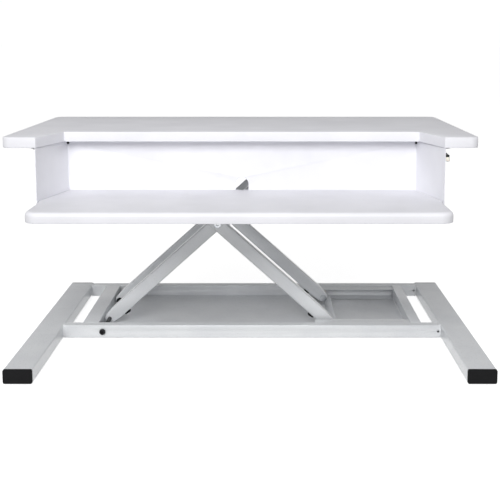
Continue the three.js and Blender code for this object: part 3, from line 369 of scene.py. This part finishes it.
# ---- Scissor arms ----
# Four rectangular steel tubes, 25 by 16 mm with drawn-in, rounded ends. The inner pair turns on
# the base's bolts and the outer pair on the deck's, and they cross on the centre bolts.
ARM_HEIGHT = 25 * MM
ARM_END_RADIUS = 9 * MM
ARM_TAPER = 20 * MM
ARM_CORNER = 2.2 * MM
PIN_HOLE = 4.15 * MM
BUMPER_EDGE = 0.6 * MM
CRANK_EDGE = 0.4 * MM


def middle_of(node):
    low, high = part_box(node)
    return (low + high) / 2


def drill(piece, start, end, radius, sides=40):
    """Cuts a hole of the given radius between two points."""
    drill_bit = rod(start, end, radius, sides)
    bpy.ops.object.mode_set(mode="OBJECT")
    modify(piece, "BOOLEAN", object=drill_bit, operation="DIFFERENCE", solver="EXACT")
    bpy.data.objects.remove(drill_bit)


def scissor_arm(node, name, lower, upper, centre):
    """An arm tube between its two end pins, with holes for them and for the centre bolt."""
    low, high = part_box(node)
    reach = Vector((upper.x - lower.x, 0, upper.z - lower.z))
    half = ARM_HEIGHT / 2
    length = reach.length
    tube = block(
        (-ARM_END_RADIUS, low.y, -half), (length + ARM_END_RADIUS, high.y, half),
    )
    for place in (ARM_TAPER, length - ARM_TAPER):
        bpy.ops.mesh.select_all(action="SELECT")
        bpy.ops.mesh.bisect(plane_co=(place, 0, 0), plane_no=(1, 0, 0))
    pick("VERT", lambda at, _: not ARM_TAPER * 0.9 < at.x < length - ARM_TAPER * 0.9)
    bpy.ops.transform.resize(value=(1, 1, ARM_END_RADIUS / half), center_override=(0, 0, 0))
    pick("EDGE", lambda at, along: abs(along.y) > 0.9 and not 0 < at.x < length)
    bpy.ops.mesh.bevel(offset=ARM_END_RADIUS * 0.98, segments=10)
    ease_edges(tube, ARM_CORNER, 4, above=60)
    for place in (0, centre, length):
        drill(tube, (place, low.y - MM, 0), (place, high.y + MM, 0), PIN_HOLE)
    select_only(tube)
    tube.rotation_euler.y = -math.atan2(reach.z, reach.x)
    tube.location = (lower.x, 0, lower.z)
    bpy.ops.object.transform_apply()
    settle(tube, name, silver_coat, "frame_paint", node)


for end in ("front", "rear"):
    lower_pivot = middle_of(f"{end}_lower_pivot_bolt")
    upper_pivot = middle_of(f"{end}_upper_pivot_bolt")
    lower_axle = middle_of(f"{end}_lower_roller_axle")
    upper_axle = middle_of(f"{end}_upper_roller_axle")
    centre_bolt = middle_of(f"{end}_centre_bolt")
    centre = math.dist((lower_pivot.x, lower_pivot.z), (centre_bolt.x, centre_bolt.z))
    scissor_arm(f"{end}_inner_arm", f"{end}_inner_arm_tube", lower_pivot, upper_axle, centre)
    scissor_arm(f"{end}_outer_arm", f"{end}_outer_arm_tube", lower_axle, upper_pivot, centre)
    for pair in ("inner", "outer"):
        bumper = from_cad(f"{end}_{pair}_bumper", BUMPER_EDGE)
        settle(bumper, f"{end}_{pair}_stop", black_rubber, "black_rubber", f"{end}_{pair}_bumper")

# The inner arms are tied by a round tube and carry the spring's crank plates. The outer arms are
# tied by a plate across their lower ends.
for node in ("spreader_tube", "front_spring_lever", "rear_spring_lever", "outer_end_plate"):
    settle(from_cad(node, CRANK_EDGE), f"{node}_steel", silver_coat, "frame_paint", node)

# ---- Bolts and axles ----
# Turned shoulder bolts hold the arms' fixed ends and their centres, and plain axles carry the
# rollers. They are cold-headed steel with a hexagon socket, zinc plated or blackened.
SOCKET_RADIUS = 3 * MM
PIN_EDGE = 0.5 * MM

# Blackened steel: dark oxide with a low metal sheen and slightly greyer wear.
black_oxide, _ = finish_of(
    "blackened_steel", ("#1a1b1d", "#28292b"), (0.34, 0.5), 0.8,
    blotch=9 * MM, grain=0.7 * MM, relief=0.01 * MM,
)
# Zinc plate: pale blue-grey metal, a little cloudy, as it leaves the plating barrel.
zinc_plate, _ = finish_of(
    "zinc_plated_steel", ("#aeb3b9", "#c6c8ca"), (0.24, 0.4), 1,
    blotch=8 * MM, grain=0.8 * MM, relief=0.01 * MM,
)


def turned_pin(name, node, steps, material, slot, socket_at=None):
    """A turned pin along Y. Steps are its radii with the Y at which each starts and ends."""
    at = middle_of(node)
    lengths = []
    for radius, start, end in steps:
        length = rod((at.x, start, at.z), (at.x, end, at.z), radius)
        ease_edges(length, min(PIN_EDGE, radius * 0.2), 3)
        lengths.append(length)
    pin = join_up(lengths)
    if socket_at is not None:
        outer, inner = socket_at
        drill(pin, (at.x, outer, at.z), (at.x, inner, at.z), SOCKET_RADIUS, 6)
    settle(pin, name, material, slot, node)


PIN_RADIUS = 4 * MM
NUT_RADIUS = 6.5 * MM
NUT_LENGTH = 4 * MM
HEAD_RADIUS = 5.5 * MM
HEAD_LENGTH = 3.5 * MM
AXLE_HEAD_LENGTH = 2 * MM
CLIP_LENGTH = 0.8 * MM
for end, out in (("front", -1), ("rear", 1)):
    for node, material, slot, head in (
        (f"{end}_lower_pivot_bolt", black_oxide, "black_steel", HEAD_RADIUS),
        (f"{end}_upper_pivot_bolt", zinc_plate, "zinc_steel", HEAD_RADIUS),
        (f"{end}_centre_bolt", zinc_plate, "zinc_steel", HEAD_RADIUS + MM),
    ):
        low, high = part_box(node)
        head_end, nut_end = (low.y, high.y) if out < 0 else (high.y, low.y)
        turned_pin(
            f"{node}_turned", node,
            (
                (head, head_end, head_end - out * HEAD_LENGTH),
                (PIN_RADIUS, head_end - out * HEAD_LENGTH * 0.9, nut_end + out * MM),
                (NUT_RADIUS, nut_end + out * NUT_LENGTH, nut_end),
            ),
            material, slot, (head_end + out * MM, head_end - out * HEAD_LENGTH * 0.75),
        )
    for level in ("lower", "upper"):
        node = f"{end}_{level}_roller_axle"
        low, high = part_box(node)
        clip_end, head_end = (low.y, high.y) if out < 0 else (high.y, low.y)
        turned_pin(
            f"{node}_turned", node,
            (
                (NUT_RADIUS, head_end, head_end + out * AXLE_HEAD_LENGTH),
                (PIN_RADIUS, head_end + out * MM, clip_end - out * CLIP_LENGTH / 2),
                (PIN_RADIUS + MM, clip_end - out * CLIP_LENGTH, clip_end),
            ),
            zinc_plate, "zinc_steel",
        )

# ---- Rollers ----
# Four turned nylon rollers run in the channels. Each has a chamfered tread and a sunk web round
# its bore.
ROLLER_RADIUS = 8.7 * MM
ROLLER_RIM = 1.6 * MM
ROLLER_WEB_DEPTH = 0.9 * MM
ROLLER_WEB_SLOPE = 0.3 * MM
ROLLER_EDGE = 0.6 * MM

# Natural nylon: waxy off-white, slightly warm, with faint turning marks.
natural_nylon, nylon_shader = finish_of(
    "turned_natural_nylon", ("#e2dfd5", "#ebe9e1"), (0.38, 0.52), 0,
    blotch=6 * MM, grain=0.7 * MM, relief=0.01 * MM,
)
nylon_shader.inputs["Subsurface Weight"].default_value = 0.1
nylon_shader.inputs["Subsurface Scale"].default_value = 2 * MM

for end in ("front", "rear"):
    for level in ("lower", "upper"):
        node = f"{end}_{level}_roller"
        low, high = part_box(node)
        at = (low + high) / 2
        wheel = rod((at.x, low.y, at.z), (at.x, high.y, at.z), ROLLER_RADIUS, 64)
        pick("FACE", lambda middle, facing: abs(facing.y) > 0.9)
        bpy.ops.mesh.inset(thickness=ROLLER_RIM)
        bpy.ops.mesh.inset(thickness=ROLLER_WEB_SLOPE, depth=-ROLLER_WEB_DEPTH)
        ease_edges(wheel, ROLLER_EDGE, 3)
        drill(wheel, (at.x, low.y - MM, at.z), (at.x, high.y + MM, at.z), PIN_HOLE)
        settle(wheel, f"{node}_wheel", natural_nylon, "nylon", node)

# ---- Gas spring ----
# It balances the deck: an enamelled cylinder with a rolled nose and a bright ground rod, between
# the inner arms' crank and a pin under the board. A plastic cap closes the tail.
CYLINDER_RADIUS = 10 * MM
CYLINDER_BORE = 7 * MM
CYLINDER_NOSE = 2.5 * MM
CYLINDER_GUIDE = 6 * MM
CYLINDER_TAIL = 9 * MM
CYLINDER_FLOOR = 10 * MM
ROD_SHOWN = 84.12 * MM
ROD_RADIUS = 4 * MM
EYE_RADIUS = 9.5 * MM
EYE_HOLE = 6.5 * MM
PISTON_PLACE = 63 * MM
PISTON_LENGTH = 6 * MM
END_CAP_LENGTH = 3.25 * MM
SPRING_GAP = 0.25 * MM
CROSS_BORE_REACH = 20 * MM
SPRING_PIN_EDGE = 0.4 * MM

# Enamelled steel: a smooth dark grey lacquer under a clear gloss.
grey_enamel, enamel_shader = finish_of(
    "grey_spring_enamel", ("#3f4144", "#494b4e"), (0.3, 0.4), 0.2,
    blotch=20 * MM, grain=1.2 * MM, relief=0.01 * MM,
)
enamel_shader.inputs["Coat Weight"].default_value = 0.5
# Hard chrome on ground steel: mirror-bright, with the finest of grinding scratches.
hard_chrome, _ = finish_of(
    "hard_chrome_rod", ("#d4d6d9", "#dcdee1"), (0.08, 0.16), 1,
    blotch=15 * MM, grain=0.8 * MM, relief=0.004 * MM,
)

lower_pin = middle_of("spring_lower_pin")
eye = middle_of("spring_rod_eye")
spring_length = (eye - lower_pin).length
spring_along = (eye - lower_pin).normalized()


def on_spring(distance):
    return lower_pin + spring_along * distance


cylinder_end = spring_length - ROD_SHOWN
cylinder = rod(on_spring(-CYLINDER_TAIL), on_spring(cylinder_end), CYLINDER_RADIUS, 64)
pick("FACE", lambda middle, facing: facing.dot(spring_along) > 0.9)
bpy.ops.mesh.bevel(offset=CYLINDER_NOSE, segments=5)
ease_edges(cylinder, 0.6 * MM, 3, above=60)
drill(
    cylinder, on_spring(CYLINDER_FLOOR), on_spring(cylinder_end - CYLINDER_GUIDE), CYLINDER_BORE,
)
drill(
    cylinder, on_spring(cylinder_end - 2 * CYLINDER_GUIDE), on_spring(cylinder_end + MM),
    ROD_RADIUS + SPRING_GAP,
)
across = Vector((0, CROSS_BORE_REACH, 0))
drill(cylinder, lower_pin - across, lower_pin + across, PIN_HOLE)
settle(cylinder, "spring_tube", grey_enamel, "spring_paint", "spring_cylinder")

tail_cap = rod(
    on_spring(-CYLINDER_TAIL - END_CAP_LENGTH), on_spring(-CYLINDER_TAIL - SPRING_GAP),
    CYLINDER_RADIUS - 0.2 * MM, 64,
)
ease_edges(tail_cap, 1.2 * MM, 4)
settle(tail_cap, "spring_tail_cap", black_abs, "black_plastic", "spring_end_cap")

ground_rod = rod(
    on_spring(PISTON_PLACE + 3 * MM), on_spring(spring_length - EYE_RADIUS - SPRING_GAP), ROD_RADIUS,
)
ease_edges(ground_rod, 0.4 * MM)
piston = rod(
    on_spring(PISTON_PLACE), on_spring(PISTON_PLACE + PISTON_LENGTH), CYLINDER_BORE - SPRING_GAP,
)
ease_edges(piston, 0.4 * MM)
settle(join_up([ground_rod, piston]), "spring_ground_rod", hard_chrome, "bright_rod", "spring_rod")

low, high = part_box("spring_rod_eye")
ring = rod((eye.x, low.y, eye.z), (eye.x, high.y, eye.z), EYE_RADIUS, 64)
bpy.ops.object.mode_set(mode="OBJECT")
drill(ring, (eye.x, low.y - MM, eye.z), (eye.x, high.y + MM, eye.z), EYE_HOLE, 64)
ease_edges(ring, 0.8 * MM, 3)
settle(ring, "spring_eye_ring", zinc_plate, "zinc_steel", "spring_rod_eye")

for node in ("spring_lower_pin", "spring_upper_pin"):
    settle(from_cad(node, SPRING_PIN_EDGE), f"{node}_turned", zinc_plate, "zinc_steel", node)

# ---- Top board ----
# An 18 mm melamine-faced board with a matching edge band, 800 mm wide, its corners rounded to
# 14 mm. A wide cutout in front leaves the keyboard tray open from above.
BOARD_CORNER = 14 * MM
CUTOUT_REAR_Y = -70 * MM
CUTOUT_REAR_INSET = 26.5 * MM
EDGE_BAND_RADIUS = 1 * MM
CUT_PAST = 5 * MM

# White melamine: a hard resin film with a fine pearl emboss, which gives a broad, weak gloss. The
# pearl is about 0.5 mm on the real board and is drawn at 1.4 mm so that it shows.
white_melamine, _ = finish_of(
    "white_melamine", ("#e3e3e8", "#e9e9ee"), (0.42, 0.56), 0,
    blotch=90 * MM, grain=1.4 * MM, relief=0.03 * MM,
)

tray_low, tray_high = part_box("keyboard_tray")
deck_x = (tray_low.x + tray_high.x) / 2
tray_half = (tray_high.x - tray_low.x) / 2
board_low, board_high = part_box("top_board")
board = block(board_low, board_high)
pick("EDGE", lambda middle, along: abs(along.z) > 0.9)
bpy.ops.mesh.bevel(offset=BOARD_CORNER, segments=14)
bpy.ops.object.mode_set(mode="OBJECT")
cutout = block(
    (deck_x - tray_half, board_low.y, board_low.z - CUT_PAST),
    (deck_x + tray_half, CUTOUT_REAR_Y, board_high.z + CUT_PAST),
)
pick("VERT", lambda at, _: at.y > CUTOUT_REAR_Y - CUT_PAST)
narrower = 1 - CUTOUT_REAR_INSET / tray_half
bpy.ops.transform.resize(value=(narrower, 1, 1), center_override=(deck_x, 0, 0))
pick("FACE", lambda middle, facing: facing.y < -0.9)
bpy.ops.transform.translate(value=(0, -CUT_PAST, 0))
spread = 1 + CUTOUT_REAR_INSET / tray_half * CUT_PAST / (CUTOUT_REAR_Y - board_low.y)
bpy.ops.transform.resize(value=(spread, 1, 1), center_override=(deck_x, 0, 0))
bpy.ops.object.mode_set(mode="OBJECT")
modify(board, "BOOLEAN", object=cutout, operation="DIFFERENCE", solver="EXACT")
bpy.data.objects.remove(cutout)
ease_edges(board, EDGE_BAND_RADIUS, 4)
settle(board, "top_board_panel", white_melamine, "white_board", "top_board")

# ---- Keyboard tray ----
# The same board, hung 90 mm below. Its front corners are rounded and the upper edge round the
# front is soft-formed to 7 mm, where the wrists rest. It narrows behind the board's front edge.
TRAY_CORNER = 24 * MM
TRAY_SOFT_EDGE = 7 * MM
TRAY_EDGE = 0.8 * MM
SAME_LEVEL = 0.1 * MM
HANGER_REAR_INSET = 28 * MM

tray = block(tray_low, tray_high)
bpy.ops.mesh.select_all(action="SELECT")
bpy.ops.mesh.bisect(plane_co=(0, board_low.y, 0), plane_no=(0, 1, 0))
pick("VERT", lambda at, _: at.y > tray_high.y - CUT_PAST)
rear_share = 1 - HANGER_REAR_INSET / tray_half
bpy.ops.transform.resize(value=(rear_share, 1, 1), center_override=(deck_x, 0, 0))
pick("EDGE", lambda middle, along: abs(along.z) > 0.9 and middle.y < tray_low.y + CUT_PAST)
bpy.ops.mesh.bevel(offset=TRAY_CORNER, segments=14)
pick(
    "EDGE",
    lambda middle, along: (
        middle.z > tray_high.z - SAME_LEVEL and middle.y < board_low.y - SAME_LEVEL
        and abs(along.z) < 0.1
    ),
)
bpy.ops.mesh.bevel(offset=TRAY_SOFT_EDGE, segments=8)
ease_edges(tray, TRAY_EDGE, 3, above=50)
settle(tray, "keyboard_tray_panel", white_melamine, "white_board", "keyboard_tray")

# ---- Tray hanger ----
# One folded 1.5 mm steel sheet carries the tray: a wall round its sides and back, a flange out
# under the board and one in under the tray. A notch in the back lets cables through.
SHEET = 1.5 * MM
BEND_RADIUS = 2 * MM
HANGER_FRONT_Y = board_low.y
TOP_FLANGE = 10 * MM
BOTTOM_FLANGE = 20 * MM
FIT = 0.5 * MM
NOTCH_WIDTH = 23 * MM
NOTCH_HEIGHT = 22.5 * MM
RELIEF_RADIUS = 2.6 * MM
SHEET_EDGE = 0.25 * MM

# White powder coat on sheet steel: cleaner and a little glossier than the tubes.
white_coat, _ = finish_of(
    "white_powder_coat", ("#e4e4e9", "#eaeaef"), (0.36, 0.48), 0,
    blotch=80 * MM, grain=1.5 * MM, relief=0.02 * MM,
)

hanger_low, hanger_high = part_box("tray_hanger")
wall_rear = hanger_high.y - TOP_FLANGE
wall_half = tray_half + FIT
# Drawn first as the sheet's inner face, bent from a tapered box that is open in front and above.
sheet = block(
    (deck_x - wall_half, HANGER_FRONT_Y, hanger_low.z + SHEET),
    (deck_x + wall_half, wall_rear - SHEET, hanger_high.z),
)
pick("VERT", lambda at, _: at.y > HANGER_FRONT_Y + CUT_PAST)
bpy.ops.transform.resize(
    value=(1 - HANGER_REAR_INSET / wall_half, 1, 1), center_override=(deck_x, 0, 0),
)
pick("FACE", lambda middle, facing: facing.y < -0.9 or facing.z > 0.9)
bpy.ops.mesh.delete(type="FACE")
pick("FACE", lambda middle, facing: facing.z < -0.9)
bpy.ops.mesh.inset(thickness=BOTTOM_FLANGE)
bpy.ops.mesh.delete(type="FACE")
pick("FACE", lambda middle, facing: facing.z < -0.9 and middle.y < HANGER_FRONT_Y + BOTTOM_FLANGE)
bpy.ops.mesh.delete(type="FACE")
pick("EDGE", lambda middle, along: middle.z > hanger_high.z - SAME_LEVEL and abs(along.z) < 0.1)
bpy.ops.mesh.extrude_edges_move(TRANSFORM_OT_translate={"value": (0, TOP_FLANGE, 0)})
bpy.ops.transform.resize(value=(1 + TOP_FLANGE / wall_half, 1, 1), center_override=(deck_x, 0, 0))
bpy.ops.mesh.select_all(action="DESELECT")
bpy.ops.mesh.select_mode(type="EDGE")
bpy.ops.mesh.edges_select_sharp(sharpness=math.radians(50))
bpy.ops.mesh.bevel(offset=BEND_RADIUS, segments=5)
modify(sheet, "SOLIDIFY", thickness=SHEET, offset=1)
notch = block(
    (deck_x - NOTCH_WIDTH / 2, wall_rear - CUT_PAST, tray_high.z),
    (deck_x + NOTCH_WIDTH / 2, wall_rear + CUT_PAST, tray_high.z + NOTCH_HEIGHT - NOTCH_WIDTH / 2),
)
bpy.ops.object.mode_set(mode="OBJECT")
modify(sheet, "BOOLEAN", object=notch, operation="DIFFERENCE", solver="EXACT")
bpy.data.objects.remove(notch)
for x, z, radius in (
    (deck_x, tray_high.z + NOTCH_HEIGHT - NOTCH_WIDTH / 2, NOTCH_WIDTH / 2),
    (deck_x - tray_half + HANGER_REAR_INSET, hanger_high.z - SHEET - RELIEF_RADIUS, RELIEF_RADIUS),
    (deck_x + tray_half - HANGER_REAR_INSET, hanger_high.z - SHEET - RELIEF_RADIUS, RELIEF_RADIUS),
):
    drill(sheet, (x, wall_rear - CUT_PAST, z), (x, wall_rear + CUT_PAST, z), radius)
ease_edges(sheet, SHEET_EDGE, 2, above=60)
settle(sheet, "tray_hanger_sheet", white_coat, "white_sheet", "tray_hanger")

# The relief hole at each rear corner is closed with a small black plug.
PLUG_LENGTH = 3 * MM
PLUG_PROUD = 0.6 * MM
PLUG_GAP = 0.1 * MM
PLUG_EDGE = 0.5 * MM
for side, x in (
    ("left", deck_x - tray_half + HANGER_REAR_INSET),
    ("right", deck_x + tray_half - HANGER_REAR_INSET),
):
    z = hanger_high.z - SHEET - RELIEF_RADIUS
    plug = rod(
        (x, wall_rear - SHEET - PLUG_PROUD, z), (x, wall_rear - SHEET + PLUG_LENGTH, z),
        RELIEF_RADIUS - PLUG_GAP, 24,
    )
    ease_edges(plug, PLUG_EDGE, 3)
    settle(plug, f"{side}_relief_plug", black_abs, "black_plastic", body="deck")

# ---- Upper rails and ties ----
# Two folded channels and two flat ties are screwed under the board. The left tie holds the
# spring's upper pin between its ears, and a stop for the release cable.
for node in ("front_upper_rail", "rear_upper_rail", "spring_tie", "right_tie"):
    settle(from_cad(node, FOLD_EDGE), f"{node}_steel", silver_coat, "frame_paint", node)

# Pan-head screws with a crossed recess hold the rails, the ties and the hanger to the board.
SCREW_RADIUS = 3.6 * MM
SCREW_HEAD = 2.2 * MM
SCREW_DOME = 1.3 * MM
RECESS_LENGTH = 4 * MM
RECESS_WIDTH = 0.9 * MM
SCREW_FROM_EDGE = 4.6 * MM
RAIL_SHEET = 1.2 * MM
TIE_THICKNESS = 4 * MM


def pan_screw(x, y, z):
    """A domed screw head that faces down from z."""
    head = rod((x, y, z), (x, y, z - SCREW_HEAD), SCREW_RADIUS, 32)
    pick("FACE", lambda middle, facing: facing.z < -0.9)
    bpy.ops.mesh.bevel(offset=SCREW_DOME, segments=5)
    bpy.ops.object.mode_set(mode="OBJECT")
    for length, width in ((RECESS_LENGTH, RECESS_WIDTH), (RECESS_WIDTH, RECESS_LENGTH)):
        slot_cut = block(
            (x - length / 2, y - width / 2, z - SCREW_HEAD - MM),
            (x + length / 2, y + width / 2, z - SCREW_HEAD + MM),
        )
        bpy.ops.object.mode_set(mode="OBJECT")
        modify(head, "BOOLEAN", object=slot_cut, operation="DIFFERENCE", solver="EXACT")
        bpy.data.objects.remove(slot_cut)
    return head


first_screw = pan_screw(0, 0, 0)
places = []
for end, side in (("front", -1), ("rear", 1)):
    low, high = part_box(f"{end}_upper_rail")
    under_flange = high.z - RAIL_SHEET
    # They stand near the channel's open side, clear of the roller's track.
    open_side = high.y if side < 0 else low.y
    for share in (0.08, 0.36, 0.64, 0.92):
        x = low.x + (high.x - low.x) * share
        places.append((x, open_side + side * SCREW_FROM_EDGE, under_flange))
for node in ("spring_tie", "right_tie"):
    low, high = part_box(node)
    for share in (0.1, 0.9):
        places.append(((low.x + high.x) / 2, low.y + (high.y - low.y) * share, high.z - TIE_THICKNESS))
flange_z = hanger_high.z - SHEET
for share in (-0.8, -0.27, 0.27, 0.8):
    places.append((deck_x + share * (tray_half - HANGER_REAR_INSET), wall_rear + TOP_FLANGE / 2, flange_z))
flange_places = []
for side, y in ((-1, -155 * MM), (-1, -85 * MM), (1, -132 * MM), (1, -85 * MM)):
    taper = HANGER_REAR_INSET * (y - HANGER_FRONT_Y) / (wall_rear - HANGER_FRONT_Y)
    x = deck_x + side * (wall_half + SHEET + TOP_FLANGE / 2 - taper)
    flange_places.append((x, y, flange_z))


def screws_at(centres):
    """One piece that holds a copy of the screw at each place."""
    copies = []
    for centre in centres:
        screw = first_screw.copy()
        screw.data = first_screw.data.copy()
        bpy.context.scene.collection.objects.link(screw)
        screw.location = centre
        select_only(screw)
        bpy.ops.object.transform_apply()
        copies.append(screw)
    return join_up(copies)


settle(screws_at(places), "rail_and_tie_screws", zinc_plate, "zinc_steel", body="deck")
settle(screws_at(flange_places), "hanger_side_screws", black_oxide, "black_steel", body="deck")
bpy.data.objects.remove(first_screw)

# ---- Release lever ----
# A blackened steel lever hangs in a zinc-plated bracket under the right wing, with a pale nylon
# grip moulded on its finger end. Squeezed up, it pulls the sheathed cable and frees the gas spring.
BRACKET_EDGE = 0.3 * MM
LEVER_EDGE = 0.5 * MM

settle(
    from_cad("release_bracket", BRACKET_EDGE), "release_bracket_channel", zinc_plate, "zinc_steel",
    "release_bracket",
)
settle(
    from_cad("release_lever_pin", BRACKET_EDGE), "release_lever_rivet", zinc_plate, "zinc_steel",
    "release_lever_pin",
)
settle(
    from_cad("release_lever", LEVER_EDGE), "release_lever_bar", black_oxide, "black_steel",
    "release_lever",
)
lever_low, lever_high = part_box("release_lever")
GRIP_LENGTH = 24 * MM
GRIP_PROUD = 1.2 * MM
GRIP_HEIGHT = 7 * MM
GRIP_CORNER = 2.4 * MM
grip = block(
    (lever_low.x - GRIP_PROUD, lever_low.y - GRIP_PROUD, lever_low.z - GRIP_PROUD),
    (lever_high.x + GRIP_PROUD, lever_low.y + GRIP_LENGTH, lever_low.z + GRIP_HEIGHT),
)
ease_edges(grip, GRIP_CORNER, 5)
settle(grip, "release_lever_grip", natural_nylon, "nylon", body="release_lever_body")

cable = from_cad("release_cable", 0)
modify(cable, "SUBSURF", levels=1, render_levels=1)
settle(cable, "release_cable_sheath", black_abs, "black_rubber", "release_cable")

# ---- Floor and light ----
# A pale floor and an even pale surround, with one large soft light from the front and above. The
# floor glows, so that it is as pale as the surround. Diffuse shading leaves it out; gloss shows it.
FLOOR_SIZE = 240
LIGHT_PLACE = (-0.4, -3.0, 2.1)
LIGHT_AIM = (0, 0, 0.2)
LIGHT_WIDTH = 2.6
LIGHT_HEIGHT = 1.6
LIGHT_WATTS = 108
FLOOR_GLOW = 0.68
SURROUND_STRENGTH = 1.02
BELOW_LEVEL = 0.16
SKY_LEVEL = 0.35

bpy.ops.object.select_all(action="DESELECT")
bpy.ops.mesh.primitive_plane_add(size=FLOOR_SIZE, location=(0, 0, 0))
floor = bpy.context.object
floor.name = "floor"
floor_paint = bpy.data.materials.new("pale_floor")
floor_paint.use_nodes = True
floor_shader = floor_paint.node_tree.nodes["Principled BSDF"]
floor_shader.inputs["Base Color"].default_value = linear("#f2f2f2")
floor_shader.inputs["Roughness"].default_value = 0.9
floor_shader.inputs["Specular IOR Level"].default_value = 0.1
floor_shader.inputs["Emission Color"].default_value = (1, 1, 1, 1)
floor_shader.inputs["Emission Strength"].default_value = FLOOR_GLOW
floor.data.materials.append(floor_paint)
floor.visible_diffuse = False

world = bpy.data.worlds.new("pale_surround")
world.use_nodes = True
bpy.context.scene.world = world
sky = world.node_tree.nodes["Background"]
direction = add_node(world, "ShaderNodeTexCoord", {}, {})
height = add_node(
    world, "ShaderNodeSeparateXYZ", {}, {"Vector": direction.outputs["Generated"]},
)
# From below comes the floor's weak bounce, then a white band at the horizon, then a dimmer sky.
levels = add_node(
    world, "ShaderNodeMapRange", {},
    {"Value": height.outputs["Z"], "From Min": -1, "From Max": 1, "To Min": 0, "To Max": 1},
)
brightness = add_node(world, "ShaderNodeValToRGB", {}, {"Fac": levels.outputs[0]})
stops = brightness.color_ramp.elements
for place, level in ((0.48, BELOW_LEVEL), (0.495, 1), (0.55, 1), (0.6, SKY_LEVEL)):
    stop = stops.new(place)
    stop.color = (level, level, level, 1)
stops[0].color = (BELOW_LEVEL, BELOW_LEVEL, BELOW_LEVEL, 1)
stops[-1].color = (SKY_LEVEL, SKY_LEVEL, SKY_LEVEL, 1)
world.node_tree.links.new(brightness.outputs[0], sky.inputs["Color"])
sky.inputs["Strength"].default_value = SURROUND_STRENGTH

bpy.ops.object.light_add(type="AREA", location=LIGHT_PLACE)
key = bpy.context.object
key.data.shape = "RECTANGLE"
key.data.size = LIGHT_WIDTH
key.data.size_y = LIGHT_HEIGHT
key.data.energy = LIGHT_WATTS
key.rotation_euler = (Vector(LIGHT_AIM) - key.location).to_track_quat("-Z", "Y").to_euler()
bpy.context.scene.view_settings.view_transform = "Standard"
